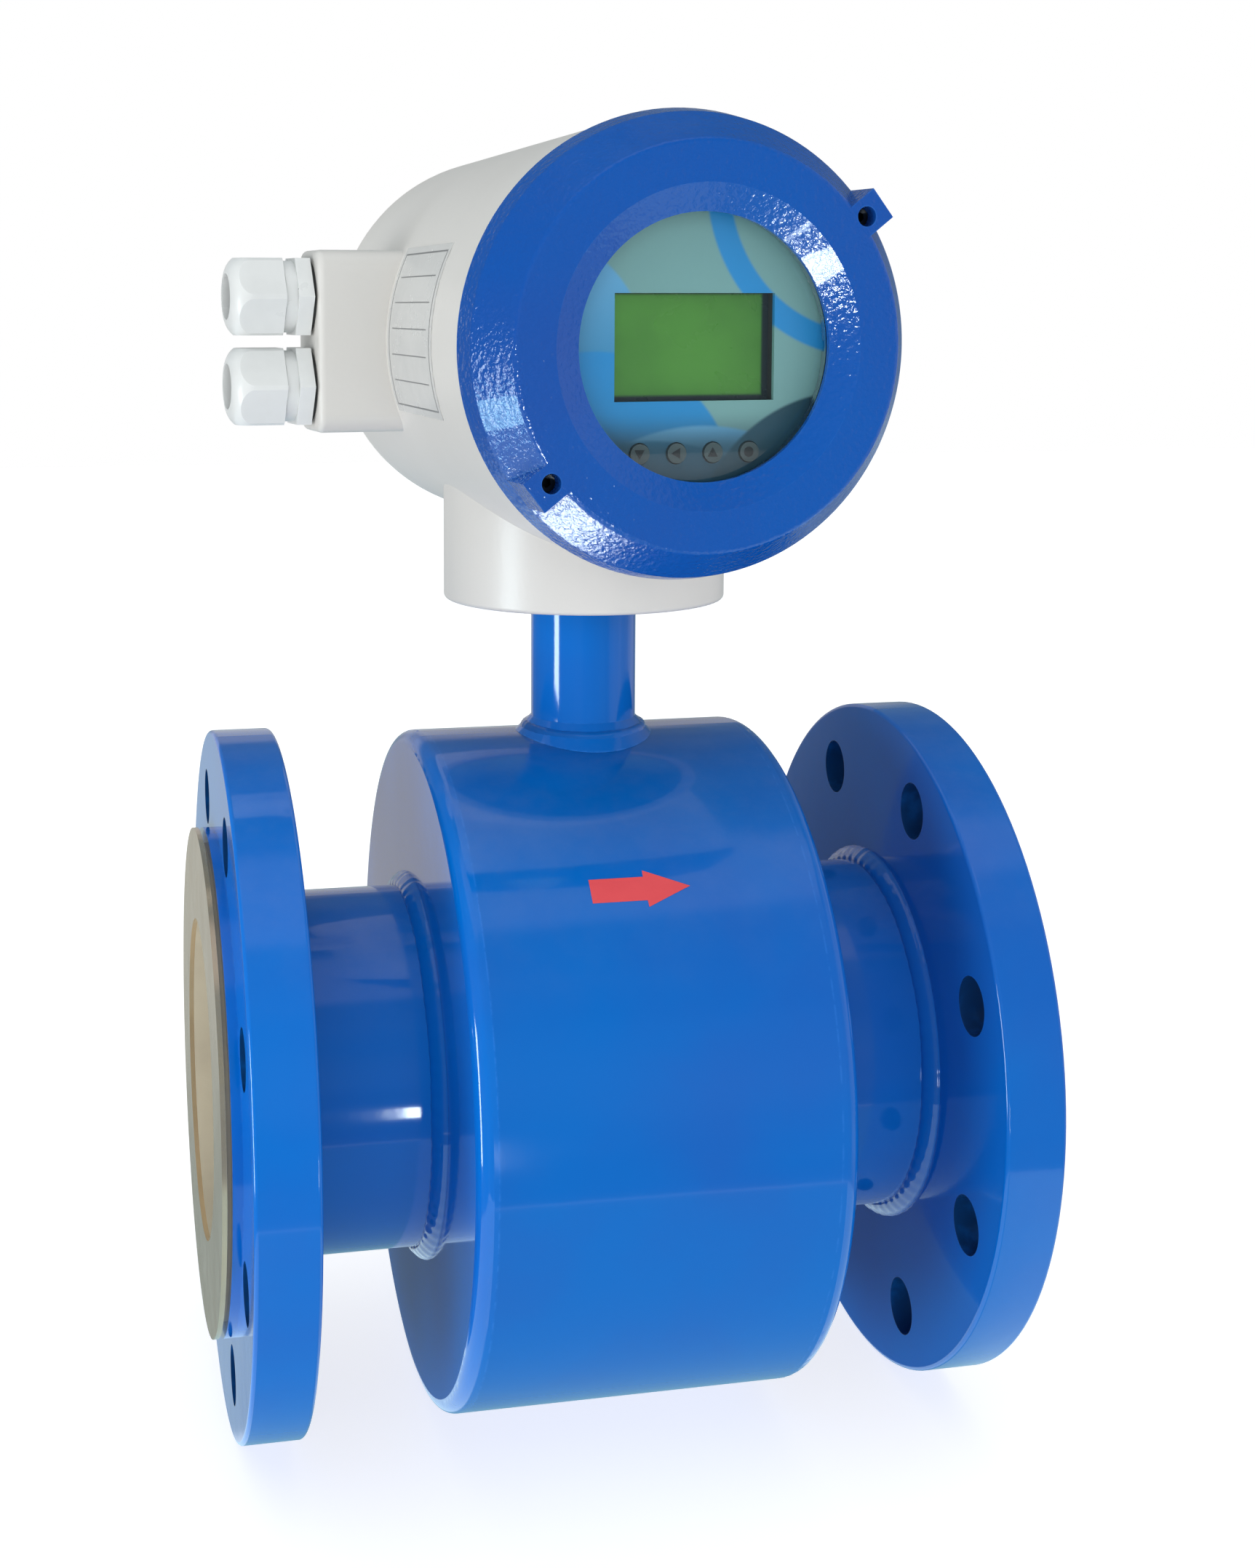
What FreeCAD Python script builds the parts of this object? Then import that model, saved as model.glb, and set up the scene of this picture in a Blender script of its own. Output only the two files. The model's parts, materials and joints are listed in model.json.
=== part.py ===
import FreeCAD, Part
import math
import os

from FreeCAD import Placement, Rotation, Vector

# Electromagnetic flow meter, DN100 PN16, with a compact converter head on a neck.
# Millimetres. X runs along the flow, inlet at -X and outlet at +X, +Z is up.
# The origin is where the axis of the flow tube meets the axis of the neck.
# The head has its own frame: X to the right of its display, "front" towards the reader
# along -Y, Z up, with its origin where the head's axis meets the neck's axis.

# ---- Flow tube and flanges -------------------------------------------------------------
bore_d = 100.0            # clear bore of the liner and the rings
face_to_face = 250.0      # over both grounding rings
pipe_od = 114.3
pipe_wall = 3.6
bolt_pcd = 180.0
bolt_count = 8
bolt_hole_d = 18.0
bolt_edge = 20.0          # bolt circle out to the flange's rim
face_inset = 11.0         # bolt circle in to the raised face's edge
flare_inset = 5.0         # raised face's edge in to the liner's flare
flange_od = bolt_pcd + 2 * bolt_edge
flange_t = 22.0           # with the raised face
raised_face_d = bolt_pcd - 2 * face_inset
raised_face_h = 3.0
flange_edge_r = 1.2
liner_flare_d = raised_face_d - 2 * flare_inset
liner_flare_t = 1.5
ground_ring_t = 1.5
weld_leg = 4.0
bond = 0.05               # gap left between round faces that are glued, shrunk or welded
merge = 0.5               # overlap of two shapes that are joined into one solid

# ---- Coil housing ----------------------------------------------------------------------
shell_d = 215.0
shell_len = 113.0
shell_wall = 4.0
end_plate_t = 6.0
shell_edge_r = 4.5

# ---- Magnet system and electrodes ------------------------------------------------------
pole_t = 4.0
pole_width = 46.0
coil_len = 88.0
coil_width = 84.0
coil_build = 16.0         # radial thickness of the winding
coil_side = 18.0          # width of one side of the winding
core_d = 24.0
yoke_width = 60.0
yoke_t = 4.0
inner_gap = 0.3           # clearance between loose inner pieces
electrode_head_d = 11.0
electrode_head_t = 1.8
electrode_shank_d = 5.0
bush_d = 11.0
bush_flange_d = 18.0
bush_flange_t = 3.0
electrode_nut_af = 9.0
electrode_nut_t = 4.0
electrode_tail = 4.0

# ---- Neck and swivel -------------------------------------------------------------------
neck_od = 33.7
neck_wall = 3.2
neck_weld = 5.0
head_height = 233.0       # flow axis to head axis
head_base_height = 151.0  # flow axis to the underside of the head
head_turn = 5.5           # degrees the head is turned on its neck
swivel_d = 60.0
swivel_t = 8.0
swivel_gap = 0.3          # running clearance round the swivel flange
clamp_ring_t = 4.0
clamp_ring_d = 80.0
clamp_recess = 0.8        # how far the clamp ring sits up inside the base
clamp_screw_pcd = 70.0
clamp_screw_d = 4.0
clamp_screw_len = 9.0
clamp_screw_count = 4
neck_seal_d = 46.0
neck_seal_cord = 2.4
lead_bundle_d = 9.0
lead_bundle_above = 8.0   # length of the leads above the swivel flange
lead_hole_d = 24.0

# ---- Converter housing -----------------------------------------------------------------
cavity_d = 111.0
front_wall = 10.0
side_wall = 6.0           # at the rear end of the drum
spigot_wall = 4.0
rear_wall = 5.5
drum_front_d = cavity_d + 2 * front_wall
drum_rear_d = cavity_d + 2 * side_wall
drum_front = 81.0         # neck axis to the shoulder that the cover meets
drum_back = 94.5          # neck axis to the rear face
drum_rear_r = 12.0
spigot_d = cavity_d + 2 * spigot_wall
spigot_len = 11.3
base_d = 90.0
base_edge_r = 1.5
lead_hole_run_in = 4.0    # extra depth where the lead hole meets the round cavity
boss_stand = 19.0         # the boss's height over the drum
boss_reach = drum_front_d / 2 + boss_stand
boss_back = 22.0          # neck axis back to the boss's middle
boss_width = 29.0
boss_height = 57.0
boss_corner_r = 6.0
boss_edge_r = 2.0

# ---- Front cover -----------------------------------------------------------------------
cover_overhang = 1.0      # the cover's rim over the drum's
cover_taper = 1.5         # draft of the cover's band
cover_slope = 8.25        # the cover's cone, from its band in to its front face
cover_land = 11.75        # flat ring on the cover's front
bevel_width = 7.75
glass_overlap = 6.75      # how far the glass reaches under the lip
retainer_overlap = 5.5    # how far the retainer reaches over the glass
cover_d = drum_front_d + 2 * cover_overhang
cover_band_d = cover_d - 2 * cover_taper
cover_band_len = 8.0
cover_front_d = cover_band_d - 2 * cover_slope
cover_depth = 21.5
cover_gap = 0.8           # open joint between the cover and the housing
cover_edge_r = 1.6
thread_gap = 0.3
bevel_d = cover_front_d - 2 * cover_land
window_d = bevel_d - 2 * bevel_width
bevel_depth = 4.0
lip_t = 1.5
glass_d = window_d + 2 * glass_overlap
glass_t = 4.0
glass_gap = 0.2
gasket_t = 0.6
gasket_width = 5.0
retainer_t = 2.4
retainer_bore_d = glass_d - 2 * retainer_overlap
retainer_slot_w = 3.0
retainer_slot_depth = 3.0
seat_wall = 3.5
cover_web_gap = 0.8       # spigot's end to the cover's inner face
seal_cord = 2.4
seal_inset = 2.4          # cover's mouth to the middle of its seal
lug_angle = 38.0
lug_width = 10.0
lug_set_back = 1.5        # the lug's end face inside the cover's rim
lug_hole_inset = 7.8      # the lug hole's middle inside the cover's rim
lug_reach = cover_d / 2 - lug_set_back
lug_hole_r = cover_d / 2 - lug_hole_inset
lug_hole_d = 5.6
lug_depth = 15.0
lock_screw_d = 5.2
lock_screw_len = 6.0
lock_socket_af = 2.5
lock_socket_depth = 2.5

# ---- Display and electronics -----------------------------------------------------------
face_plate_gap = 1.25     # the face plate's clearance in the cavity
face_plate_d = cavity_d - 2 * face_plate_gap
face_plate_t = 1.5
face_rise = 9.0           # the face plate's front over the drum's shoulder
face_front = drum_front + face_rise
carrier_t = 3.0
lcd_open_w = 48.0
lcd_open_h = 30.0
lcd_w = 58.0
lcd_h = 38.0
lcd_t = 4.0
key_count = 4
key_pitch = 11.0
key_rim = 7.75            # window's edge in to the keys' middles
key_drop = window_d / 2 - key_rim
key_d = 5.6
key_flange_d = 7.6
key_flange_t = 0.6
key_proud = 0.8
key_gap = 0.3
key_travel = 0.5
switch_size = 6.0
board_gap = 3.5           # the boards' clearance in the cavity
board_d = cavity_d - 2 * board_gap
board_t = 1.6
main_board_front = 30.0
terminal_board_front = -50.0
post_inset = 11.5         # cavity wall in to the middles of the posts
post_pcd = cavity_d - 2 * post_inset
post_d = 7.0
post_wall = 1.0           # extra wall of the cast posts over the spacers
post_count = 4
face_screw_d = 3.0
face_screw_head_d = 5.5
face_screw_head_t = 1.3
face_screw_head_gap = 0.15
face_screw_len = 16.0
terminal_pitch = 7.5
terminal_count = 8
terminal_depth = 12.0
terminal_height = 14.0
terminal_drop = 14.0
terminal_screw_depth = 3.0
power_module_inset = 18.0 # the module's sides inside the post circle
power_module_w = post_pcd - 2 * power_module_inset
power_module_h = 30.0
power_module_t = 22.0
power_module_rise = 18.0

# ---- Cable glands ----------------------------------------------------------------------
gland_pitch = 28.0
gland_af = 24.0
gland_hex_len = 4.8
gland_collar_d = 22.4
gland_collar_len = 3.6
gland_shank_d = 19.6
gland_shank_len = 10.0
gland_barrel_d = 18.6
gland_barrel_len = 10.0
gland_bore_d = 14.0
gland_hole_d = 20.2
hole_run_in = 12.0        # extra depth where the tapped holes meet the round cavity
gland_gasket_t = 1.0
gland_nut_len = 17.0
gland_nut_dome = 6.0
gland_nut_tip_d = 16.0
gland_nut_hole_d = 14.4
gland_nut_wall = 3.4
gland_seal_d = 15.0
gland_seal_bore_d = 12.0
gland_seat_d = 15.6
gland_seat_depth = 8.0

# ---- Places worked out from the sizes above --------------------------------------------
half_length = face_to_face / 2
flange_face = half_length - ground_ring_t - liner_flare_t
flange_rim = flange_face - raised_face_h
flange_back = flange_face - flange_t
pipe_r = pipe_od / 2
pipe_bore_r = pipe_r - pipe_wall
liner_r = pipe_bore_r - bond
shell_r = shell_d / 2
shell_bore_r = shell_r - shell_wall
pole_r = pipe_r + inner_gap
coil_r = pole_r + pole_t + inner_gap
coil_outer_r = coil_r + coil_build
yoke_r = coil_outer_r + inner_gap
bush_seat_r = pipe_r + bush_flange_t
base_drop = head_height - head_base_height
clamp_bottom = -base_drop + clamp_recess
clamp_top = clamp_bottom + clamp_ring_t
swivel_bottom = clamp_top + swivel_gap
swivel_top = swivel_bottom + swivel_t
socket_top = swivel_top + swivel_gap
cavity_back = -drum_back + rear_wall
spigot_end = drum_front + spigot_len
cover_mouth = drum_front + cover_gap
cover_front = cover_mouth + cover_depth
cover_bore_r = spigot_d / 2 + thread_gap
cover_web = spigot_end + cover_web_gap
glass_seat = cover_front - bevel_depth - lip_t
glass_front = glass_seat - gasket_t
glass_back = glass_front - glass_t
retainer_back = glass_back - retainer_t
carrier_front = face_front - face_plate_t
carrier_back = carrier_front - carrier_t
lcd_front = carrier_back - inner_gap
display_board_front = lcd_front - lcd_t
key_back = carrier_back - key_gap / 3 - key_flange_t
switch_front = key_back - key_travel - key_gap
gland_face = boss_reach + gland_gasket_t
gland_collar_end = gland_face + gland_hex_len + gland_collar_len
gland_barrel_end = gland_collar_end + gland_barrel_len
gland_tip = gland_collar_end + gland_nut_len


# ---- Shapes ----------------------------------------------------------------------------

def turned(profile, axis="x"):
    """Solid of revolution from a closed list of (distance along the axis, radius)."""
    directions = {"x": Vector(1, 0, 0), "z": Vector(0, 0, 1), "front": Vector(0, -1, 0)}
    outward = Vector(0, 0, 1) if axis == "x" else Vector(1, 0, 0)
    points = [directions[axis] * along + outward * radius for along, radius in profile]
    face = Part.Face(Part.makePolygon(points + points[:1]))
    return face.revolve(Vector(0, 0, 0), directions[axis], 360)


def tube(start, end, outer_r, inner_r, axis="x"):
    """Plain round tube, or a rod where the inner radius is nought."""
    return turned([(start, inner_r), (end, inner_r), (end, outer_r), (start, outer_r)], axis)


def rod(base, direction, radius, length):
    """Round rod from a point along a direction."""
    return Part.makeCylinder(radius, length, base, direction)


def block(centre, size):
    """Rectangular block about its centre."""
    corner = centre - Vector(size[0] / 2, size[1] / 2, size[2] / 2)
    return Part.makeBox(size[0], size[1], size[2], corner)


def prism(base, direction, across_flats, length, turn=0.0):
    """Hexagonal prism from a point along a direction, flats facing the Z axis at turn 0."""
    corner_r = across_flats / math.sqrt(3)
    side = Vector(0, 0, 1).cross(direction).normalize()
    up = direction.cross(side).normalize()
    angles = [math.radians(60 * i + turn) for i in range(6)]
    points = [base + side * (corner_r * math.cos(a)) + up * (corner_r * math.sin(a)) for a in angles]
    face = Part.Face(Part.makePolygon(points + points[:1]))
    return face.extrude(direction * length)


def ring_cord(along, major_d, cord_d, axis):
    """O-ring about an axis."""
    directions = {"z": Vector(0, 0, 1), "front": Vector(0, -1, 0)}
    direction = directions[axis]
    return Part.makeTorus(major_d / 2, cord_d / 2, direction * along, direction)


def rim_edges(shape, axis, along, radius):
    """Circular edges of a turned shape at one place along its axis."""
    directions = {"x": Vector(1, 0, 0), "z": Vector(0, 0, 1), "front": Vector(0, -1, 0)}
    found = []
    for edge in shape.Edges:
        curve = edge.Curve
        if not isinstance(curve, Part.Circle):
            continue
        if abs(curve.Center.dot(directions[axis]) - along) > 0.01:
            continue
        if abs(curve.Radius - radius) < 0.01:
            found.append(edge)
    return found


def rounded(shape, radius, axis, rims):
    """Fillet the circular rims given as (along, radius) pairs."""
    edges = [edge for along, rim_r in rims for edge in rim_edges(shape, axis, along, rim_r)]
    return shape.makeFillet(radius, edges)


def around(axis_point, direction, solid, count, start=0.0):
    """Copies of a solid spaced evenly about an axis."""
    copies = []
    for i in range(count):
        copy = solid.copy()
        copy.rotate(axis_point, direction, start + 360.0 * i / count)
        copies.append(copy)
    return copies


def mirrored_x(shape):
    """The other end of the meter: the same piece facing -X."""
    return shape.rotated(Vector(0, 0, 0), Vector(0, 0, 1), 180)


def front_point(x, front, z):
    """Point in the head's frame, front measured towards the reader."""
    return Vector(x, -front, z)


def on_head(shape):
    """Carry a shape from the head's frame to the meter's frame."""
    placed = shape.copy()
    placed.Placement = Placement(Vector(0, 0, head_height), Rotation(Vector(0, 0, 1), head_turn))
    return placed


# ---- Flow tube -------------------------------------------------------------------------

def measuring_tube():
    """Stainless pipe with two side holes for the electrodes."""
    pipe = tube(-flange_face, flange_face, pipe_r, pipe_bore_r)
    hole = rod(Vector(0, -pipe_od, 0), Vector(0, 1, 0), bush_d / 2 + bond, 2 * pipe_od)
    return pipe.cut(hole)


def tube_liner():
    """Bonded liner, flared over both raised faces."""
    bore_r = bore_d / 2
    flare_r = liner_flare_d / 2
    end = flange_face + liner_flare_t
    profile = [(-end, bore_r), (end, bore_r), (end, flare_r), (flange_face, flare_r),
               (flange_face, liner_r), (-flange_face, liner_r), (-flange_face, flare_r), (-end, flare_r)]
    liner = turned(profile)
    holes = rod(Vector(0, -bore_d, 0), Vector(0, 1, 0), electrode_shank_d / 2 + bond, 2 * bore_d)
    heads = tube(-electrode_head_d / 2, electrode_head_d / 2, bore_r + electrode_head_t, 0)
    pocket = rod(Vector(0, -bore_d, 0), Vector(0, 1, 0), electrode_head_d / 2 + bond, 2 * bore_d)
    return liner.cut(holes).cut(pocket.common(heads))


def flange():
    """Outlet flange: plate, raised face, bolt holes and the weld at its back."""
    bore_r = pipe_r + bond
    rim_r = flange_od / 2
    profile = [(flange_back - weld_leg, bore_r), (flange_face, bore_r),
               (flange_face, raised_face_d / 2), (flange_rim, raised_face_d / 2),
               (flange_rim, rim_r), (flange_back, rim_r), (flange_back, bore_r + weld_leg)]
    plate = turned(profile)
    plate = rounded(plate, flange_edge_r, "x", [(flange_rim, rim_r), (flange_back, rim_r)])
    hole = rod(Vector(flange_back, 0, bolt_pcd / 2), Vector(1, 0, 0), bolt_hole_d / 2, flange_t)
    holes = around(Vector(0, 0, 0), Vector(1, 0, 0), hole, bolt_count, 180.0 / bolt_count)
    return plate.cut(holes)


def ground_ring():
    """Outlet grounding ring, held against the liner's flare."""
    return tube(half_length - ground_ring_t, half_length, raised_face_d / 2, bore_d / 2)


# ---- Coil housing ----------------------------------------------------------------------

def coil_shell():
    """Rolled sheet between the two end plates, with the hole for the neck."""
    end = shell_len / 2 - end_plate_t
    sheet = tube(-end, end, shell_r, shell_bore_r)
    return sheet.cut(rod(Vector(0, 0, 0), Vector(0, 0, 1), neck_od / 2 + bond, shell_d))


def end_plate():
    """Outlet end plate with a rolled edge and the weld round the pipe."""
    bore_r = pipe_r + bond
    inside = shell_len / 2 - end_plate_t
    outside = shell_len / 2
    profile = [(inside, bore_r), (outside + weld_leg, bore_r), (outside, bore_r + weld_leg),
               (outside, shell_r), (inside, shell_r)]
    return rounded(turned(profile), min(shell_edge_r, end_plate_t - 1), "x", [(outside, shell_r)])


def saddle(inner_r, thickness, length, width, hole_length=0.0, hole_width=0.0):
    """Curved pad over the top of the pipe, with an optional rounded window."""
    pad = rounded_block(length, width, min(length, width) / 3)
    if hole_length:
        pad = pad.cut(rounded_block(hole_length, hole_width, min(hole_length, hole_width) / 3))
    return pad.common(tube(-length, length, inner_r + thickness, inner_r))


def rounded_block(length, width, corner_r):
    """Upright block above the pipe's axis with rounded corners."""
    solid = block(Vector(0, 0, shell_r / 2), (length, width, shell_r))
    upright = [e for e in solid.Edges if abs(e.tangentAt(e.FirstParameter).z) > 0.99]
    return solid.makeFillet(corner_r, upright)


def coil():
    """Upper field coil, a racetrack winding bent over the pipe."""
    return saddle(coil_r, coil_build, coil_len, coil_width,
                  coil_len - 2 * coil_side, coil_width - 2 * coil_side)


def pole():
    """Upper pole shoe with the core that reaches up to the yoke."""
    shoe = saddle(pole_r, pole_t, coil_len - 2 * coil_side, pole_width)
    core = rod(Vector(0, 0, pole_r + pole_t / 2), Vector(0, 0, 1), core_d / 2, yoke_r)
    core = core.common(tube(-core_d, core_d, yoke_r - inner_gap, 0))
    return shoe.fuse(core).removeSplitter()


def field_yoke():
    """Steel band round both coils that closes the magnetic circuit."""
    return tube(-yoke_width / 2, yoke_width / 2, yoke_r + yoke_t, yoke_r)


def electrode():
    """Front electrode: a low head flush in the liner and a shank through the pipe."""
    tail = bush_seat_r + electrode_nut_t + electrode_tail
    out = Vector(0, -1, 0)
    head = rod(out * (bore_d / 2 - 2), out, electrode_head_d / 2, electrode_head_t + 2)
    head = head.common(tube(-electrode_head_d, electrode_head_d, bore_d / 2 + electrode_head_t, bore_d / 2))
    shank = rod(out * (bore_d / 2 + electrode_head_t / 2), out, electrode_shank_d / 2,
                tail - bore_d / 2 - electrode_head_t / 2)
    return head.fuse(shank).removeSplitter()


def electrode_bush():
    """Front insulating bush in the pipe's side hole."""
    out = Vector(0, -1, 0)
    sleeve = rod(out * liner_r, out, bush_d / 2, bush_seat_r - liner_r)
    collar = rod(out * (pipe_r - bush_flange_t / 2), out, bush_flange_d / 2, bush_flange_t * 1.5)
    collar = collar.cut(tube(-bush_flange_d, bush_flange_d, pipe_r + bond, 0))
    bush = sleeve.fuse(collar).cut(tube(-bush_flange_d, bush_flange_d, liner_r + bond, 0))
    return bush.cut(rod(out * bore_d / 2, out, electrode_shank_d / 2 + bond, bore_d))


def electrode_nut():
    """Front nut that pulls the electrode out against the liner."""
    out = Vector(0, -1, 0)
    nut = prism(out * bush_seat_r, out, electrode_nut_af, electrode_nut_t)
    return nut.cut(rod(out * bush_seat_r, out, electrode_shank_d / 2 + bond, electrode_nut_t))


# ---- Neck ------------------------------------------------------------------------------

def neck_tube():
    """Tube from the coil housing up into the swivel flange, with its weld at the foot."""
    neck_r = neck_od / 2
    foot = shell_bore_r - shell_wall
    top = head_height + swivel_top - swivel_t / 4
    weld_top = shell_r + neck_weld
    weld_foot = shell_bore_r
    profile = [(foot, neck_r - neck_wall), (top, neck_r - neck_wall), (top, neck_r), (weld_top, neck_r),
               (weld_foot, neck_r + weld_top - weld_foot), (weld_foot, neck_r), (foot, neck_r)]
    collar = turned(profile, "z")
    inside = tube(-shell_len, shell_len, shell_r + bond, 0)
    keep = tube(foot, top, neck_r, 0, "z")
    return collar.cut(inside.cut(keep))


def swivel_flange():
    """Disc on top of the neck that the head turns on, with a groove for its seal."""
    low = head_height + swivel_bottom
    high = head_height + swivel_top
    disc = tube(low, high, swivel_d / 2, neck_od / 2 - neck_wall, "z")
    seat = tube(low, high - swivel_t / 4 + bond, neck_od / 2 + bond, 0, "z")
    groove = tube(high - neck_seal_cord + swivel_gap / 2, high, (neck_seal_d + neck_seal_cord) / 2 + bond,
                  (neck_seal_d - neck_seal_cord) / 2 - bond, "z")
    return disc.cut(seat).cut(groove)


def neck_seal():
    """O-ring in the swivel flange's groove."""
    middle = head_height + swivel_top - neck_seal_cord / 2 + swivel_gap / 2 + bond
    return ring_cord(middle, neck_seal_d, neck_seal_cord, "z")


def lead_bundle():
    """Coil and electrode leads, sleeved together, up the middle of the neck."""
    foot = yoke_r + yoke_t + inner_gap
    top = head_height + swivel_top + lead_bundle_above
    return tube(foot, top, lead_bundle_d / 2, 0, "z")


def clamp_ring():
    """Ring screwed up into the head's base, under the swivel flange."""
    ring = tube(clamp_bottom, clamp_top, clamp_ring_d / 2, neck_od / 2 + swivel_gap, "z")
    hole = rod(Vector(clamp_screw_pcd / 2, 0, clamp_bottom), Vector(0, 0, 1), clamp_screw_d / 2 + bond, clamp_ring_t)
    return ring.cut(around(Vector(0, 0, 0), Vector(0, 0, 1), hole, clamp_screw_count, 180.0 / clamp_screw_count))


def clamp_screws():
    """Button-head screws that hold the clamp ring."""
    head_t = clamp_recess
    shank = rod(Vector(clamp_screw_pcd / 2, 0, clamp_bottom), Vector(0, 0, 1), clamp_screw_d / 2, clamp_screw_len)
    head = rod(Vector(clamp_screw_pcd / 2, 0, clamp_bottom - head_t), Vector(0, 0, 1), clamp_screw_d * 0.9, head_t)
    screw = head.fuse(shank)
    screws = around(Vector(0, 0, 0), Vector(0, 0, 1), screw, clamp_screw_count, 180.0 / clamp_screw_count)
    return Part.makeCompound(screws)


# ---- Converter housing -----------------------------------------------------------------

def housing():
    """Cast housing: drum, threaded spigot, base, gland boss and board posts."""
    drum = drum_solid()
    base = tube(-base_drop, 0, base_d / 2, 0, "z")
    base = rounded(base, base_edge_r, "z", [(-base_drop, base_d / 2)])
    spigot = tube(drum_front - 1, spigot_end, spigot_d / 2, 0, "front")
    body = drum.fuse(base).fuse(spigot).fuse(gland_boss()).removeSplitter()
    cavity = tube(cavity_back, spigot_end, cavity_d / 2, 0, "front")
    return body.cut([cavity] + base_cuts() + gland_holes()).fuse(board_posts())


def drum_solid():
    """Slightly tapered drum with a large round edge at the rear."""
    rear_r = drum_rear_d / 2
    shoulder = -drum_back + drum_rear_r
    bulge = drum_rear_r * math.sqrt(0.5)
    rear_edge = front_point(rear_r - drum_rear_r, -drum_back, 0)
    round_mid = front_point(rear_r - drum_rear_r + bulge, shoulder - bulge, 0)
    round_end = front_point(rear_r, shoulder, 0)
    front_edge = front_point(drum_front_d / 2, drum_front, 0)
    outline = [Part.makeLine(front_point(0, -drum_back, 0), rear_edge),
               Part.Arc(rear_edge, round_mid, round_end).toShape(),
               Part.makeLine(round_end, front_edge), Part.makeLine(front_edge, front_point(0, drum_front, 0)),
               Part.makeLine(front_point(0, drum_front, 0), front_point(0, -drum_back, 0))]
    return Part.Face(Part.Wire(outline)).revolve(Vector(0, 0, 0), Vector(0, -1, 0), 360)


def gland_boss():
    """Rounded block on the left of the drum that takes both cable glands."""
    reach = boss_reach
    solid = block(front_point(-reach / 2, -boss_back, 0), (reach, boss_width, boss_height))
    along = [e for e in solid.Edges if abs(e.tangentAt(e.FirstParameter).x) > 0.99]
    solid = solid.makeFillet(boss_corner_r, along)
    outer = [e for e in solid.Edges if e.BoundBox.XMax < -reach + 0.01]
    return solid.makeFillet(boss_edge_r, outer)


def base_cuts():
    """Socket for the swivel flange, recess for the clamp ring, screw holes and lead hole."""
    recess = tube(-base_drop, clamp_top, clamp_ring_d / 2 + swivel_gap, 0, "z")
    socket = tube(clamp_top, socket_top, swivel_d / 2 + swivel_gap, 0, "z")
    lead_hole = tube(socket_top, -cavity_d / 2 + lead_hole_run_in, lead_hole_d / 2, 0, "z")
    hole = rod(Vector(clamp_screw_pcd / 2, 0, clamp_top), Vector(0, 0, 1), clamp_screw_d / 2 + bond,
               clamp_screw_len - clamp_ring_t + 1)
    screws = around(Vector(0, 0, 0), Vector(0, 0, 1), hole, clamp_screw_count, 180.0 / clamp_screw_count)
    return [recess, socket, lead_hole] + screws


def gland_places():
    """Middle of each cable entry on the boss's face, upper then lower."""
    return [front_point(-boss_reach, -boss_back, side * gland_pitch / 2) for side in (1, -1)]


def gland_holes():
    """Tapped holes from the boss's face into the housing."""
    depth = boss_reach - cavity_d / 2 + hole_run_in
    return [rod(place, Vector(1, 0, 0), gland_hole_d / 2, depth) for place in gland_places()]


def board_posts():
    """Cast posts on the rear wall that carry the terminal board."""
    length = terminal_board_front - board_t - cavity_back
    post = rod(front_point(post_pcd / 2, cavity_back - merge, 0), Vector(0, -1, 0), post_d / 2 + post_wall,
               length + merge)
    return around(Vector(0, 0, 0), Vector(0, 1, 0), post, post_count, 180.0 / post_count)


# ---- Front cover -----------------------------------------------------------------------

def front_cover():
    """Screwed cover with a stepped window seat, a sealed mouth and two lugs."""
    band_end = cover_mouth + cover_band_len
    seat_r = glass_d / 2 + glass_gap
    profile = [(cover_mouth, cover_bore_r), (cover_mouth, cover_d / 2), (band_end, cover_band_d / 2),
               (cover_front, cover_front_d / 2), (cover_front, bevel_d / 2),
               (cover_front - bevel_depth, window_d / 2), (glass_seat, window_d / 2),
               (glass_seat, seat_r), (retainer_back, seat_r), (retainer_back, seat_r + seat_wall),
               (cover_web, seat_r + seat_wall), (cover_web, cover_bore_r)]
    ring = turned(profile, "front")
    ring = rounded(ring, cover_edge_r, "front", [(cover_front, cover_front_d / 2), (band_end, cover_band_d / 2)])
    lugs = around(Vector(0, 0, 0), Vector(0, -1, 0), cover_lug(), 2, 0)
    ring = ring.fuse(lugs).removeSplitter()
    return ring.cut([seal_groove()] + lug_holes())


def cover_lug():
    """Block on the cover's slope, flush with its front."""
    inner = cover_front_d / 2 - lug_width
    length = lug_reach - inner
    middle = front_point(inner + length / 2, cover_front - lug_depth / 2, 0)
    lug = block(middle, (length, lug_depth, lug_width))
    lug = lug.cut(tube(cover_mouth - 1, cover_web + 2, cover_bore_r + 1, 0, "front"))
    return lug.rotated(Vector(0, 0, 0), Vector(0, -1, 0), lug_angle)


def lug_holes():
    """Threaded holes through the lugs for the lock screws."""
    hole = rod(front_point(lug_hole_r, cover_front, 0), Vector(0, 1, 0), lug_hole_d / 2, cover_front - spigot_end)
    return around(Vector(0, 0, 0), Vector(0, -1, 0), hole, 2, lug_angle)


def seal_groove():
    """Groove in the cover's mouth for its O-ring."""
    middle = cover_mouth + seal_inset
    return tube(middle - seal_cord / 2 - 0.2, middle + seal_cord / 2 + 0.2,
                cover_bore_r + seal_cord + 0.1, cover_bore_r - 1, "front")


def cover_seal():
    """O-ring that travels with the cover and slides on the housing's spigot."""
    return ring_cord(cover_mouth + seal_inset, 2 * cover_bore_r + seal_cord, seal_cord, "front")


def lock_screws():
    """Socket set screws in the lugs, which bear on the end of the spigot."""
    tip = spigot_end + inner_gap
    screw = rod(front_point(lug_hole_r, tip, 0), Vector(0, -1, 0), lock_screw_d / 2, lock_screw_len)
    socket = prism(front_point(lug_hole_r, tip + lock_screw_len - lock_socket_depth, 0), Vector(0, -1, 0),
                   lock_socket_af, lock_socket_depth)
    return Part.makeCompound(around(Vector(0, 0, 0), Vector(0, -1, 0), screw.cut(socket), 2, lug_angle))


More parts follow.
